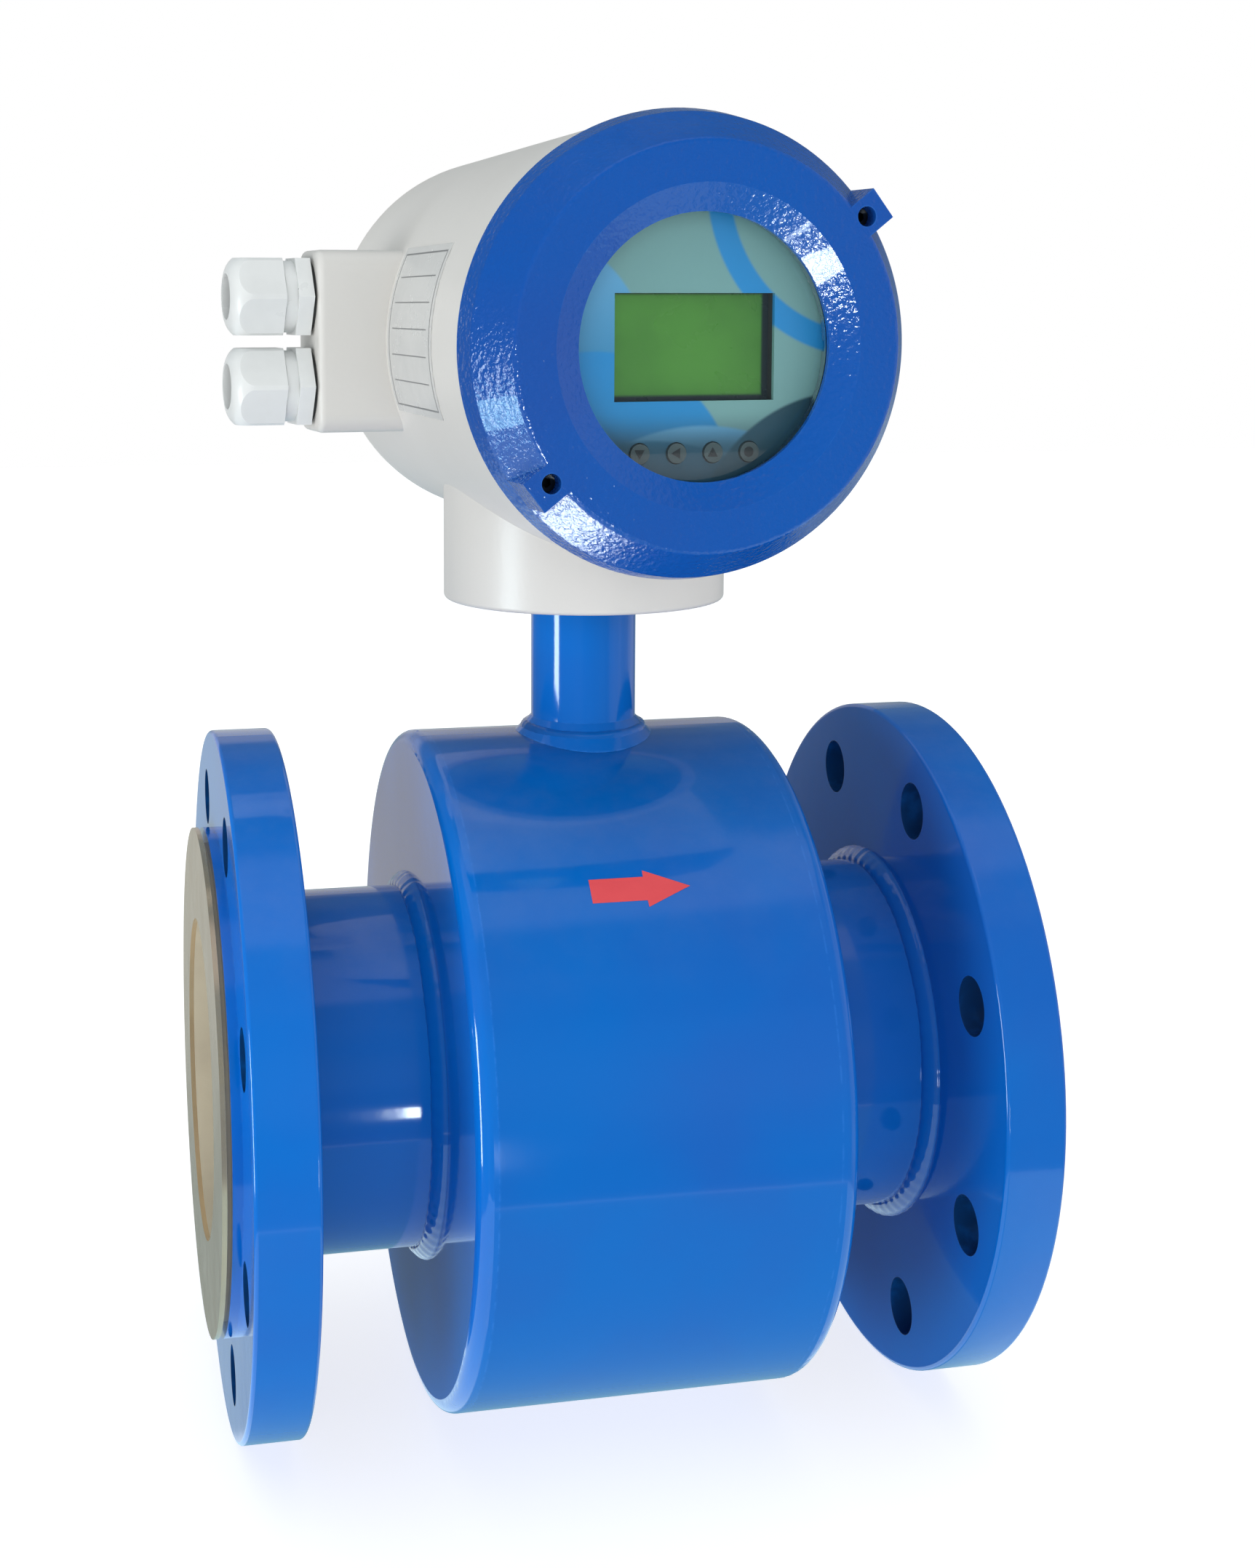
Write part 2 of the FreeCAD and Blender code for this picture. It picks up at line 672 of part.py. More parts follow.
def window_glass():
    """Round glass behind the cover's lip."""
    return tube(glass_back, glass_front, glass_d / 2, 0, "front")


def glass_gasket():
    """Flat gasket between the glass and the lip."""
    outer_r = glass_d / 2
    return tube(glass_front, glass_seat, outer_r, outer_r - gasket_width, "front")


def glass_retainer():
    """Threaded ring that holds the glass from behind, with four wrench slots."""
    ring = tube(retainer_back, glass_back, glass_d / 2, retainer_bore_d / 2, "front")
    slot = block(front_point(glass_d / 2, retainer_back, 0), (glass_d, retainer_t, retainer_slot_w))
    slots = around(Vector(0, 0, 0), Vector(0, 1, 0), slot, 2, 0) + around(Vector(0, 0, 0), Vector(0, 1, 0), slot, 2, 90)
    keep = tube(retainer_back - 1, glass_back, retainer_bore_d / 2 + retainer_slot_depth, 0, "front")
    return ring.cut([s.common(keep) for s in slots])


# ---- Display and electronics -----------------------------------------------------------

def key_places():
    """X places of the keys, left to right."""
    return [(i - (key_count - 1) / 2) * key_pitch for i in range(key_count)]


def face_openings(start, length):
    """Display window, key holes and screw holes through a plate."""
    window = block(front_point(0, start + length / 2, 0), (lcd_open_w, length, lcd_open_h))
    keys = [rod(front_point(x, start, -key_drop), Vector(0, -1, 0), key_d / 2 + key_gap, length)
            for x in key_places()]
    return [window] + keys


def post_holes(start, length, diameter=face_screw_d + 2 * bond):
    """Screw holes on the post circle."""
    hole = rod(front_point(post_pcd / 2, start, 0), Vector(0, -1, 0), diameter / 2, length)
    return around(Vector(0, 0, 0), Vector(0, 1, 0), hole, post_count, 180.0 / post_count)


def face_plate():
    """Printed face plate with its display window, key holes and holes for the screw heads."""
    plate = tube(carrier_front, face_front, face_plate_d / 2, 0, "front")
    head_holes = post_holes(carrier_front, face_plate_t, face_screw_head_d + 2 * face_screw_head_gap)
    return plate.cut(face_openings(carrier_front, face_plate_t) + head_holes)


def display_carrier():
    """Moulded tray behind the face plate, with pads that stand on the display board."""
    tray = tube(carrier_back, carrier_front, face_plate_d / 2, 0, "front")
    pad = rod(front_point(post_pcd / 2, display_board_front, 0), Vector(0, -1, 0), post_d / 2,
              carrier_back - display_board_front + merge)
    pads = around(Vector(0, 0, 0), Vector(0, 1, 0), pad, post_count, 180.0 / post_count)
    cuts = face_openings(carrier_back, carrier_t) + post_holes(display_board_front, carrier_front - display_board_front)
    return tray.fuse(pads).cut(cuts)


def lcd_glass():
    """Liquid crystal cell on the display board."""
    return block(front_point(0, lcd_front - lcd_t / 2, 0), (lcd_w, lcd_t, lcd_h))


def circuit_board(front):
    """Round circuit board with its screw holes."""
    board = tube(front - board_t, front, board_d / 2, 0, "front")
    return board.cut(post_holes(front - board_t, board_t))


def key_cap(x):
    """Key cap with the flange that keeps it behind the carrier."""
    start = front_point(x, key_back, -key_drop)
    flange_part = rod(start, Vector(0, -1, 0), key_flange_d / 2, key_flange_t)
    stem = rod(start, Vector(0, -1, 0), key_d / 2, face_front + key_proud - key_back)
    return flange_part.fuse(stem).removeSplitter()


def key_switches():
    """Row of tact switches under the keys."""
    height = switch_front - display_board_front
    middle = display_board_front + height / 2
    return Part.makeCompound([block(front_point(x, middle, -key_drop), (switch_size, height, switch_size))
                              for x in key_places()])


def spacers(back, front):
    """Four hexagonal board spacers between two planes."""
    spacer = prism(front_point(post_pcd / 2, back, 0), Vector(0, -1, 0), post_d, front - back)
    spacer = spacer.cut(rod(front_point(post_pcd / 2, back, 0), Vector(0, -1, 0), face_screw_d / 2 + bond, front - back))
    return Part.makeCompound(around(Vector(0, 0, 0), Vector(0, 1, 0), spacer, post_count, 180.0 / post_count))


def face_screws():
    """Flat-head screws through the carrier and the display board into the front spacers."""
    shank = rod(front_point(post_pcd / 2, carrier_front - face_screw_len, 0), Vector(0, -1, 0),
                face_screw_d / 2, face_screw_len)
    head = rod(front_point(post_pcd / 2, carrier_front, 0), Vector(0, -1, 0), face_screw_head_d / 2, face_screw_head_t)
    screw = shank.fuse(head).removeSplitter()
    return Part.makeCompound(around(Vector(0, 0, 0), Vector(0, 1, 0), screw, post_count, 180.0 / post_count))


def terminal_block():
    """Row of screw terminals on the terminal board."""
    width = terminal_pitch * terminal_count
    middle = front_point(0, terminal_board_front + terminal_depth / 2, -terminal_drop)
    body = block(middle, (width, terminal_depth, terminal_height))
    cuts = []
    for i in range(terminal_count):
        x = (i - (terminal_count - 1) / 2) * terminal_pitch
        seat = front_point(x, terminal_board_front + terminal_depth - terminal_screw_depth, -terminal_drop)
        cuts.append(rod(seat, Vector(0, -1, 0), terminal_pitch / 3, terminal_depth))
    return body.cut(cuts)


def power_module():
    """Potted power supply on the terminal board."""
    middle = front_point(0, terminal_board_front + power_module_t / 2, power_module_rise)
    return block(middle, (power_module_w, power_module_t, power_module_h))


# ---- Cable glands ----------------------------------------------------------------------

def gland_body(place):
    """Gland body: shank in the boss, hexagon, collar and slotted barrel."""
    out = Vector(-1, 0, 0)
    face = place + out * gland_gasket_t
    shank = rod(place - out * (gland_shank_len - 1), out, gland_shank_d / 2, gland_shank_len + gland_gasket_t)
    hexagon = prism(face, out, gland_af, gland_hex_len)
    collar = rod(face + out * gland_hex_len, out, gland_collar_d / 2, gland_collar_len)
    barrel = rod(face, out, gland_barrel_d / 2, gland_barrel_end - gland_face)
    body = shank.fuse([hexagon, collar, barrel])
    bore = rod(place - out * gland_shank_len, out, gland_bore_d / 2, 2 * gland_tip)
    seat = rod(place + out * (gland_barrel_end - boss_reach - gland_seat_depth), out, gland_seat_d / 2, gland_tip)
    return body.cut([bore, seat]).removeSplitter()


def gland_gasket(place):
    """Flat gasket between the gland's hexagon and the boss."""
    out = Vector(-1, 0, 0)
    disc = rod(place, out, gland_af / 2 - 0.5, gland_gasket_t)
    return disc.cut(rod(place, out, gland_shank_d / 2 + bond, gland_gasket_t))


def gland_seal(place):
    """Rubber insert in the barrel, with the shoulder that the nut presses on."""
    out = Vector(-1, 0, 0)
    inner = place + out * (gland_barrel_end - boss_reach - gland_seat_depth + inner_gap)
    end = gland_tip - gland_nut_wall - inner_gap
    body = rod(inner, out, gland_seal_d / 2, end - gland_barrel_end + gland_seat_depth - inner_gap)
    return body.cut(rod(inner, out, gland_seal_bore_d / 2, gland_tip))


def gland_nut(place):
    """Dome nut: hexagon, dome, threaded bore and the hole for the cable."""
    out = Vector(-1, 0, 0)
    start = place + out * (gland_collar_end - boss_reach + inner_gap)
    length = gland_nut_len - inner_gap
    hexagon = prism(start, out, gland_af, length)
    dome = dome_envelope(start, out, length)
    bore = rod(start, out, gland_barrel_d / 2 + thread_gap, length - gland_nut_wall)
    hole = rod(start, out, gland_nut_hole_d / 2, length)
    return hexagon.common(dome).cut([bore, hole])


def dome_envelope(start, out, length):
    """Round body with a domed end, which trims the hexagon of the nut."""
    corner_r = gland_af / math.sqrt(3) - 0.4
    tip_r = gland_nut_tip_d / 2
    dome_start = length - gland_nut_dome
    side = Vector(0, 0, 1)
    a = start + side * corner_r + out * dome_start
    b = start + side * (tip_r + (corner_r - tip_r) * 0.72) + out * (dome_start + gland_nut_dome * 0.62)
    c = start + side * tip_r + out * length
    outline = [Part.makeLine(start, start + side * corner_r), Part.makeLine(start + side * corner_r, a),
               Part.Arc(a, b, c).toShape(), Part.makeLine(c, start + out * length),
               Part.makeLine(start + out * length, start)]
    return Part.Face(Part.Wire(outline)).revolve(start, out, 360)


# ---- The whole meter -------------------------------------------------------------------

def both_sides(front_piece):
    """A piece on the front electrode and its twin at the back."""
    return Part.makeCompound([front_piece, front_piece.rotated(Vector(0, 0, 0), Vector(0, 0, 1), 180)])


def sensor_pieces():
    """Everything from the flanges up to the neck's swivel flange."""
    top = {"upper_coil": coil(), "upper_pole": pole()}
    pieces = {
        "measuring_tube": measuring_tube(), "tube_liner": tube_liner(),
        "outlet_flange": flange(), "inlet_flange": mirrored_x(flange()),
        "outlet_ground_ring": ground_ring(), "inlet_ground_ring": mirrored_x(ground_ring()),
        "coil_shell": coil_shell(), "outlet_end_plate": end_plate(), "inlet_end_plate": mirrored_x(end_plate()),
        "field_yoke": field_yoke(), "electrodes": both_sides(electrode()),
        "electrode_bushes": both_sides(electrode_bush()), "electrode_nuts": both_sides(electrode_nut()),
        "neck_tube": neck_tube(), "swivel_flange": swivel_flange(), "neck_seal": neck_seal(),
        "lead_bundle": lead_bundle(),
    }
    for name, shape in top.items():
        pieces[name] = shape
        pieces[name.replace("upper", "lower")] = shape.rotated(Vector(0, 0, 0), Vector(1, 0, 0), 180)
    return pieces


def head_pieces():
    """The converter head, in its own frame."""
    pieces = {
        "housing": housing(), "clamp_ring": clamp_ring(), "clamp_screws": clamp_screws(),
        "front_cover": front_cover(), "cover_seal": cover_seal(), "lock_screws": lock_screws(),
        "window_glass": window_glass(), "glass_gasket": glass_gasket(), "glass_retainer": glass_retainer(),
        "face_plate": face_plate(), "display_carrier": display_carrier(), "lcd_glass": lcd_glass(),
        "display_board": circuit_board(display_board_front), "key_switches": key_switches(),
        "main_board": circuit_board(main_board_front), "terminal_board": circuit_board(terminal_board_front),
        "front_spacers": spacers(main_board_front, display_board_front - board_t),
        "rear_spacers": spacers(terminal_board_front, main_board_front - board_t),
        "face_screws": face_screws(), "terminal_block": terminal_block(), "power_module": power_module(),
    }
    for number, x in enumerate(key_places(), 1):
        pieces["key_%d" % number] = key_cap(x)
    for name, place in zip(("upper", "lower"), gland_places()):
        pieces[name + "_gland_body"] = gland_body(place)
        pieces[name + "_gland_gasket"] = gland_gasket(place)
        pieces[name + "_gland_seal"] = gland_seal(place)
        pieces[name + "_gland_nut"] = gland_nut(place)
    return pieces


def main():
    """Build every piece and write one STEP file for each."""
    os.makedirs("parts", exist_ok=True)
    pieces = sensor_pieces()
    for name, shape in head_pieces().items():
        pieces[name] = on_head(shape)
    for name, shape in sorted(pieces.items()):
        shape.exportStep("parts/%s.step" % name)
        print("%-22s %9.0f mm3  %d solid(s)  valid %s" % (name, shape.Volume, len(shape.Solids), shape.isValid()))


main()
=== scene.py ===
"""Dresses a flanged electromagnetic flow meter: enamel, castings, printed face, welds, threads."""

import json
import logging
import math
from dataclasses import dataclass, field
from enum import Enum
from typing import Callable, Iterable, Optional, Sequence

import bmesh
import bpy
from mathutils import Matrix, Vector


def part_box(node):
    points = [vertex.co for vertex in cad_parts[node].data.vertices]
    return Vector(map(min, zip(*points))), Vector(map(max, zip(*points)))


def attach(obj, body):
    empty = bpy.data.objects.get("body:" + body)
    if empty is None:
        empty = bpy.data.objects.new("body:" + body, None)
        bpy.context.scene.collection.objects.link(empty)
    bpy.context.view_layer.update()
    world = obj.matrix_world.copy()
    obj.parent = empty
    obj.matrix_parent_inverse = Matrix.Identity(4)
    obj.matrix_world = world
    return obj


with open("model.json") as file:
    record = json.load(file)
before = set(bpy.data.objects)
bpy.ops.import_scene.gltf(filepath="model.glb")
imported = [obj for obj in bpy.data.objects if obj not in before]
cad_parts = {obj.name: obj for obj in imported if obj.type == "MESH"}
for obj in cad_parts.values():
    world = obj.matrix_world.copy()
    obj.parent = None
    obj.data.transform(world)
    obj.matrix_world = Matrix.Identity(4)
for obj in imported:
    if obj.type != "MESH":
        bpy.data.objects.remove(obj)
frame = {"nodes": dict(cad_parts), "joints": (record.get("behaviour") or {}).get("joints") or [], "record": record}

LOG = logging.getLogger("flow_meter")
MM = 0.001
Colour = tuple[float, float, float]
Pair = tuple[float, float]
Place = tuple[float, float, float]
Socket = bpy.types.NodeSocket
Tree = bpy.types.ShaderNodeTree
Node = bpy.types.Node
Material = bpy.types.Material


# ---- Places read from the frame ----

class End(Enum):
    """The two ends of the flow tube, by their direction along the flow."""

    INLET = -1
    OUTLET = 1


@dataclass(frozen=True)
class Axis:
    """A line that a round piece is turned about."""

    origin: Vector
    along: Vector
    up: Vector

    @property
    def side(self) -> Vector:
        """The direction at right angles to the line and to its up direction."""
        return self.along.cross(self.up)

    def point(self, distance: float, radius: float, angle: float = 0.0) -> Vector:
        """A point beside the line.

        Args:
            distance: How far along the line, in metres.
            radius: How far from the line, in metres.
            angle: Turn from the up direction towards the side, in radians.

        Returns:
            The point in the object's frame.
        """
        outward = self.up * math.cos(angle) + self.side * math.sin(angle)
        return self.origin + self.along * distance + outward * radius


FLOW = Axis(Vector((0.0, 0.0, 0.0)), Vector((1.0, 0.0, 0.0)), Vector((0.0, 0.0, 1.0)))
NECK = Axis(Vector((0.0, 0.0, 0.0)), Vector((0.0, 0.0, 1.0)), Vector((0.0, -1.0, 0.0)))


def joint_axis(name: str) -> Axis:
    """The level line that a joint turns about, with +Z as its up direction."""
    joint = next(joint for joint in frame["joints"] if joint["name"] == name)
    return Axis(Vector(joint["pos_m"]), Vector(joint["axis"]).normalized(), Vector((0.0, 0.0, 1.0)))


HEAD = joint_axis("cover_turn")


def across_head() -> Axis:
    """The line through the head's axis that points to the right of the display."""
    return Axis(HEAD.origin, HEAD.up.cross(HEAD.along).normalized(), HEAD.up)


def bolt_sizes() -> Pair:
    """The radius of the flanges' bolt circle and of one hole, in metres."""
    sizes = next(m["dims"] for m in frame["record"]["mounts"] if m["kind"] == "bolt_pattern")
    return sizes["pcd_mm"] / 2 * MM, sizes["hole_r_mm"] * MM


def offsets(node: str, axis: Axis) -> list[Vector]:
    """Where a CAD node's points lie, counted from an axis's origin."""
    return [v.co - axis.origin for v in frame["nodes"][node].data.vertices]


def span_along(node: str, axis: Axis) -> Pair:
    """The lowest and highest distance along an axis that a CAD node reaches."""
    distances = [offset.dot(axis.along) for offset in offsets(node, axis)]
    return min(distances), max(distances)


def reach_from(node: str, axis: Axis, beyond: float = -math.inf) -> float:
    """The largest distance of a node's surface from an axis.

    Args:
        node: Name of the CAD node.
        axis: The line to measure from.
        beyond: Only what lies farther along the axis than this counts.

    Returns:
        The distance, in metres.
    """
    return max((offset - axis.along * offset.dot(axis.along)).length
               for offset in offsets(node, axis) if offset.dot(axis.along) > beyond)


# ---- Meshes ----

@dataclass
class Piece:
    """A mesh in the making: points and faces in the object's frame."""

    name: str
    points: list[Vector] = field(default_factory=list)
    faces: list[tuple[int, ...]] = field(default_factory=list)

    def add_grid(self, rows: Sequence[Sequence[Vector]], wrap_rows: bool = False,
                 wrap_columns: bool = False) -> None:
        """Adds a skin of quads over rows of points.

        Args:
            rows: The rows, all with the same number of points.
            wrap_rows: Whether the last row joins the first.
            wrap_columns: Whether each row's last point joins its first.
        """
        start, width = len(self.points), len(rows[0])
        for row in rows:
            self.points.extend(row)
        for i in range(len(rows) if wrap_rows else len(rows) - 1):
            here = start + i * width
            there = start + (i + 1) % len(rows) * width
            for j in range(width if wrap_columns else width - 1):
                beside = (j + 1) % width
                self.faces.append((here + j, here + beside, there + beside, there + j))

    def add_fan(self, ring: Sequence[Vector]) -> None:
        """Closes a ring of points with triangles to its centre.

        Args:
            ring: The points, in order.
        """
        start, count = len(self.points), len(ring)
        self.points.extend(ring)
        self.points.append(sum(ring, Vector()) / count)
        self.faces += [(start + i, start + (i + 1) % count, start + count) for i in range(count)]

    def add_slab(self, outline: Sequence[Vector], rise: Vector) -> None:
        """Adds a closed flat piece: an outline, its raised copy and the wall between.

        Args:
            outline: The points around the foot.
            rise: The way from the foot to the top.
        """
        start, count = len(self.points), len(outline)
        self.points.extend(outline)
        self.points.extend(p + rise for p in outline)
        self.faces.append(tuple(start + count + i for i in range(count)))
        self.faces.append(tuple(start + i for i in reversed(range(count))))
        for i in range(count):
            j = (i + 1) % count
            self.faces.append((start + i, start + j, start + count + j, start + count + i))

    def build(self, material: Material, body: str, slot: str, smooth_angle: float) -> None:
        """Makes the object, gives it its finish and lets it ride.

        Args:
            material: The finish.
            body: The CAD body that it moves with.
            slot: The record's material slot; not used.
            smooth_angle: Edges flatter than this many degrees are shaded smooth.
        """
        mesh = bpy.data.meshes.new(self.name)
        mesh.from_pydata([tuple(p) for p in self.points], [], self.faces)
        mesh.validate()
        self.turn_outward(mesh)
        piece = bpy.data.objects.new(self.name, mesh)
        bpy.context.scene.collection.objects.link(piece)
        mesh.materials.append(material)
        mesh.shade_smooth()
        mesh.set_sharp_from_angle(angle=math.radians(smooth_angle))
        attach(piece, body)
        LOG.info("%s: %d faces on %s", self.name, len(mesh.polygons), body)

    @staticmethod
    def turn_outward(mesh: bpy.types.Mesh, join_within: float = 0.0001 * MM) -> None:
        """Joins points that coincide and turns every face to look outward.

        Args:
            mesh: The mesh to mend.
            join_within: Points nearer than this are one, in metres.
        """
        skin = bmesh.new()
        skin.from_mesh(mesh)
        bmesh.ops.remove_doubles(skin, verts=skin.verts, dist=join_within)
        bmesh.ops.recalc_face_normals(skin, faces=skin.faces)
        skin.to_mesh(mesh)
        skin.free()


@dataclass(frozen=True)
class ThreadForm:
    """A helical ridge on a round face; its half width and crest are shares of the pitch."""

    radius: float
    length: float
    pitch: float
    height: float
    root: float = 0.05 * MM
    half_width: float = 0.42
    crest_share: float = 0.25
    fade_turns: float = 0.25

    def piece(self, name: str, axis: Axis, start: float, steps: int) -> Piece:
        """Sweeps the ridge along its helix, fading at both ends.

        Args:
            name: Name of the piece.
            axis: The line that the thread runs around.
            start: Where it begins along the line, in metres.
            steps: Steps in one turn.

        Returns:
            The ridge, not built yet.
        """
        thread = Piece(name)
        turns = (self.length - self.pitch) / self.pitch
        total, fading = int(turns * steps), steps * self.fade_turns
        foot, half = self.radius - self.root, self.pitch * self.half_width
        crest_half = half * self.crest_share
        rows = []
        for i in range(total + 1):
            fade = min(1.0, i / fading, (total - i) / fading)
            middle = start + self.pitch / 2 + self.pitch * i / steps
            crest = self.radius + self.height * fade
            section = [(middle - half, foot), (middle - crest_half, crest),
                       (middle + crest_half, crest), (middle + half, foot)]
            rows.append([axis.point(d, r, math.tau * i / steps) for d, r in section])
        thread.add_grid(rows, wrap_columns=True)
        thread.add_fan(rows[0])
        thread.add_fan(rows[-1][::-1])
        return thread


@dataclass(frozen=True)
class WeldBead:
    """A ring of weld with the ripples of its runs; depths are shares of the leg."""

    leg: float = 4.25 * MM
    ripples: int = 70
    ripple_steps: int = 5
    ripple_depth: float = 0.016
    ripple_lag: float = 0.35
    wander: float = 0.03
    wander_waves: Pair = (3.0, 7.0)
    wander_start: float = 0.7
    flatness: float = 0.10
    sides: int = 24
    smooth_angle: float = 60.0

    def piece(self, name: str, axis: Axis, seam: Callable[[float], Pair]) -> Piece:
        """Sweeps the bead's section around a closed seam.

        Args:
            name: Name of the piece.
            axis: The line that the seam runs around.
            seam: Gives the seam's distance along the axis and its radius at an angle.

        Returns:
            The bead, not built yet.
        """
        bead = Piece(name)
        steps = self.ripples * self.ripple_steps
        slow, quick = self.wander_waves
        rows = []
        for i in range(steps):
            angle = math.tau * i / steps
            centre, away = axis.point(*seam(angle), angle), axis.point(0.0, 1.0, angle)
            row = []
            for j in range(self.sides):
                turn = math.tau * j / self.sides
                lag = self.ripple_lag * math.cos(turn * 2.0)
                wave = math.sin(angle * self.ripples + lag) * self.ripple_depth
                drift = (math.sin(angle * slow + self.wander_start) * math.sin(angle * quick)
                         * self.wander)
                flat = self.flatness * math.sin(turn * 2.0) ** 2
                radius = self.leg * (1.0 + wave + drift - flat)
                row.append(centre + axis.along * (radius * math.cos(turn))
                           + away * (radius * math.sin(turn)))
            rows.append(row)
        bead.add_grid(rows, wrap_rows=True, wrap_columns=True)
        return bead


# ---- Shader graphs ----

def rgba(colour: Iterable[float]) -> tuple[float, float, float, float]:
    """A colour with full opacity."""
    return (*colour, 1.0)


@dataclass
class Graph:
    """Adds nodes to one tree and joins them; an input is a socket or a constant."""

    tree: bpy.types.NodeTree

    def node(self, kind: str, **settings: object) -> Node:
        """Adds a node and sets its plain properties.

        Args:
            kind: Blender's name of its type.
            settings: The properties by name.

        Returns:
            The new node.
        """
        made = self.tree.nodes.new(kind)
        for key, value in settings.items():
            setattr(made, key, value)
        return made

    def fed(self, node: Node, *ordered: object, **named: object) -> Node:
        """Feeds a node's inputs, each with a socket's output or a constant.

        Args:
            node: The node.
            ordered: What the inputs that it uses take, in order.
            named: What other inputs take, by name with _ for a space.

        Returns:
            The node itself.
        """
        inputs = list(zip((target for target in node.inputs if target.enabled), ordered))
        inputs += [(node.inputs[name.replace("_", " ")], value) for name, value in named.items()]
        for target, value in inputs:
            if isinstance(value, Socket):
                self.tree.links.new(value, target)
            else:
                target.default_value = value
        return node

    def maths(self, operation: str, first: object, second: object = 0.0,
              clamp: bool = False) -> Socket:
        """One operation on two values, kept between nought and one if clamped."""
        made = self.node("ShaderNodeMath", operation=operation, use_clamp=clamp)
        return self.fed(made, first, second).outputs[0]

    def minus(self, first: object, second: object) -> Socket:
        """The first value less the second."""
        return self.maths("SUBTRACT", first, second)

    def product(self, *factors: object) -> Socket:
        """Multiplies values together.

        Args:
            factors: Sockets or numbers.

        Returns:
            The product.
        """
        result = factors[0]
        for factor in factors[1:]:
            result = self.maths("MULTIPLY", result, factor)
        return result

    def distance(self, first: Socket, second: Socket) -> Socket:
        """How far a point is from nought, by its two coordinates."""
        squares = self.maths("ADD", self.product(first, first), self.product(second, second))
        return self.maths("SQRT", squares)

    def vectors(self, operation: str, first: object, second: object) -> Node:
        """One operation on two vectors."""
        return self.fed(self.node("ShaderNodeVectorMath", operation=operation), first, second)

    def split(self, vector: Socket) -> tuple[Socket, Socket, Socket]:
        """The three parts of a vector."""
        return tuple(self.fed(self.node("ShaderNodeSeparateXYZ"), vector).outputs)

    def noise(self, place: object, scale: object, detail: float = 3.0, roughness: float = 0.5,
              distortion: float = 0.0) -> Socket:
        """A cloudy value at a place."""
        return self.fed(self.node("ShaderNodeTexNoise"), Vector=place, Scale=scale, Detail=detail,
                        Roughness=roughness, Distortion=distortion).outputs["Fac"]

    def remap(self, value: object, low: float, high: float, to_low: float = 0.0,
              to_high: float = 1.0) -> Socket:
        """A smooth map of a value from one range to another."""
        made = self.node("ShaderNodeMapRange", interpolation_type="SMOOTHSTEP")
        return self.fed(made, Value=value, From_Min=low, From_Max=high, To_Min=to_low,
                        To_Max=to_high).outputs["Result"]

    def mix(self, mask: object, first: object, second: object, blend: str = "MIX") -> Socket:
        """A mix of two colours by a mask."""
        made = self.node("ShaderNodeMix", data_type="RGBA", blend_type=blend)
        return self.fed(made, mask, first, second).outputs[2]

    def place(self) -> Socket:
        """Where the shaded point is on the object, in metres."""
        return self.node("ShaderNodeTexCoord").outputs["Object"]

    def facing(self) -> Socket:
        """The direction that the shaded face looks in."""
        return self.node("ShaderNodeNewGeometry").outputs["Normal"]


class Effect(Enum):
    """The shared surface effects, each a node group of its own."""

    PAINT_RELIEF = "paint_relief"
    COLOUR_DRIFT = "colour_drift"
    ROUGHNESS_DRIFT = "roughness_drift"
    EDGE_WEAR_AND_HIGHLIGHT = "edge_wear_and_highlight"
    SETTLED_DUST = "settled_dust"
    TURNING_MARKS = "turning_marks"
    BOLT_HOLE_SHADE = "bolt_hole_shade"


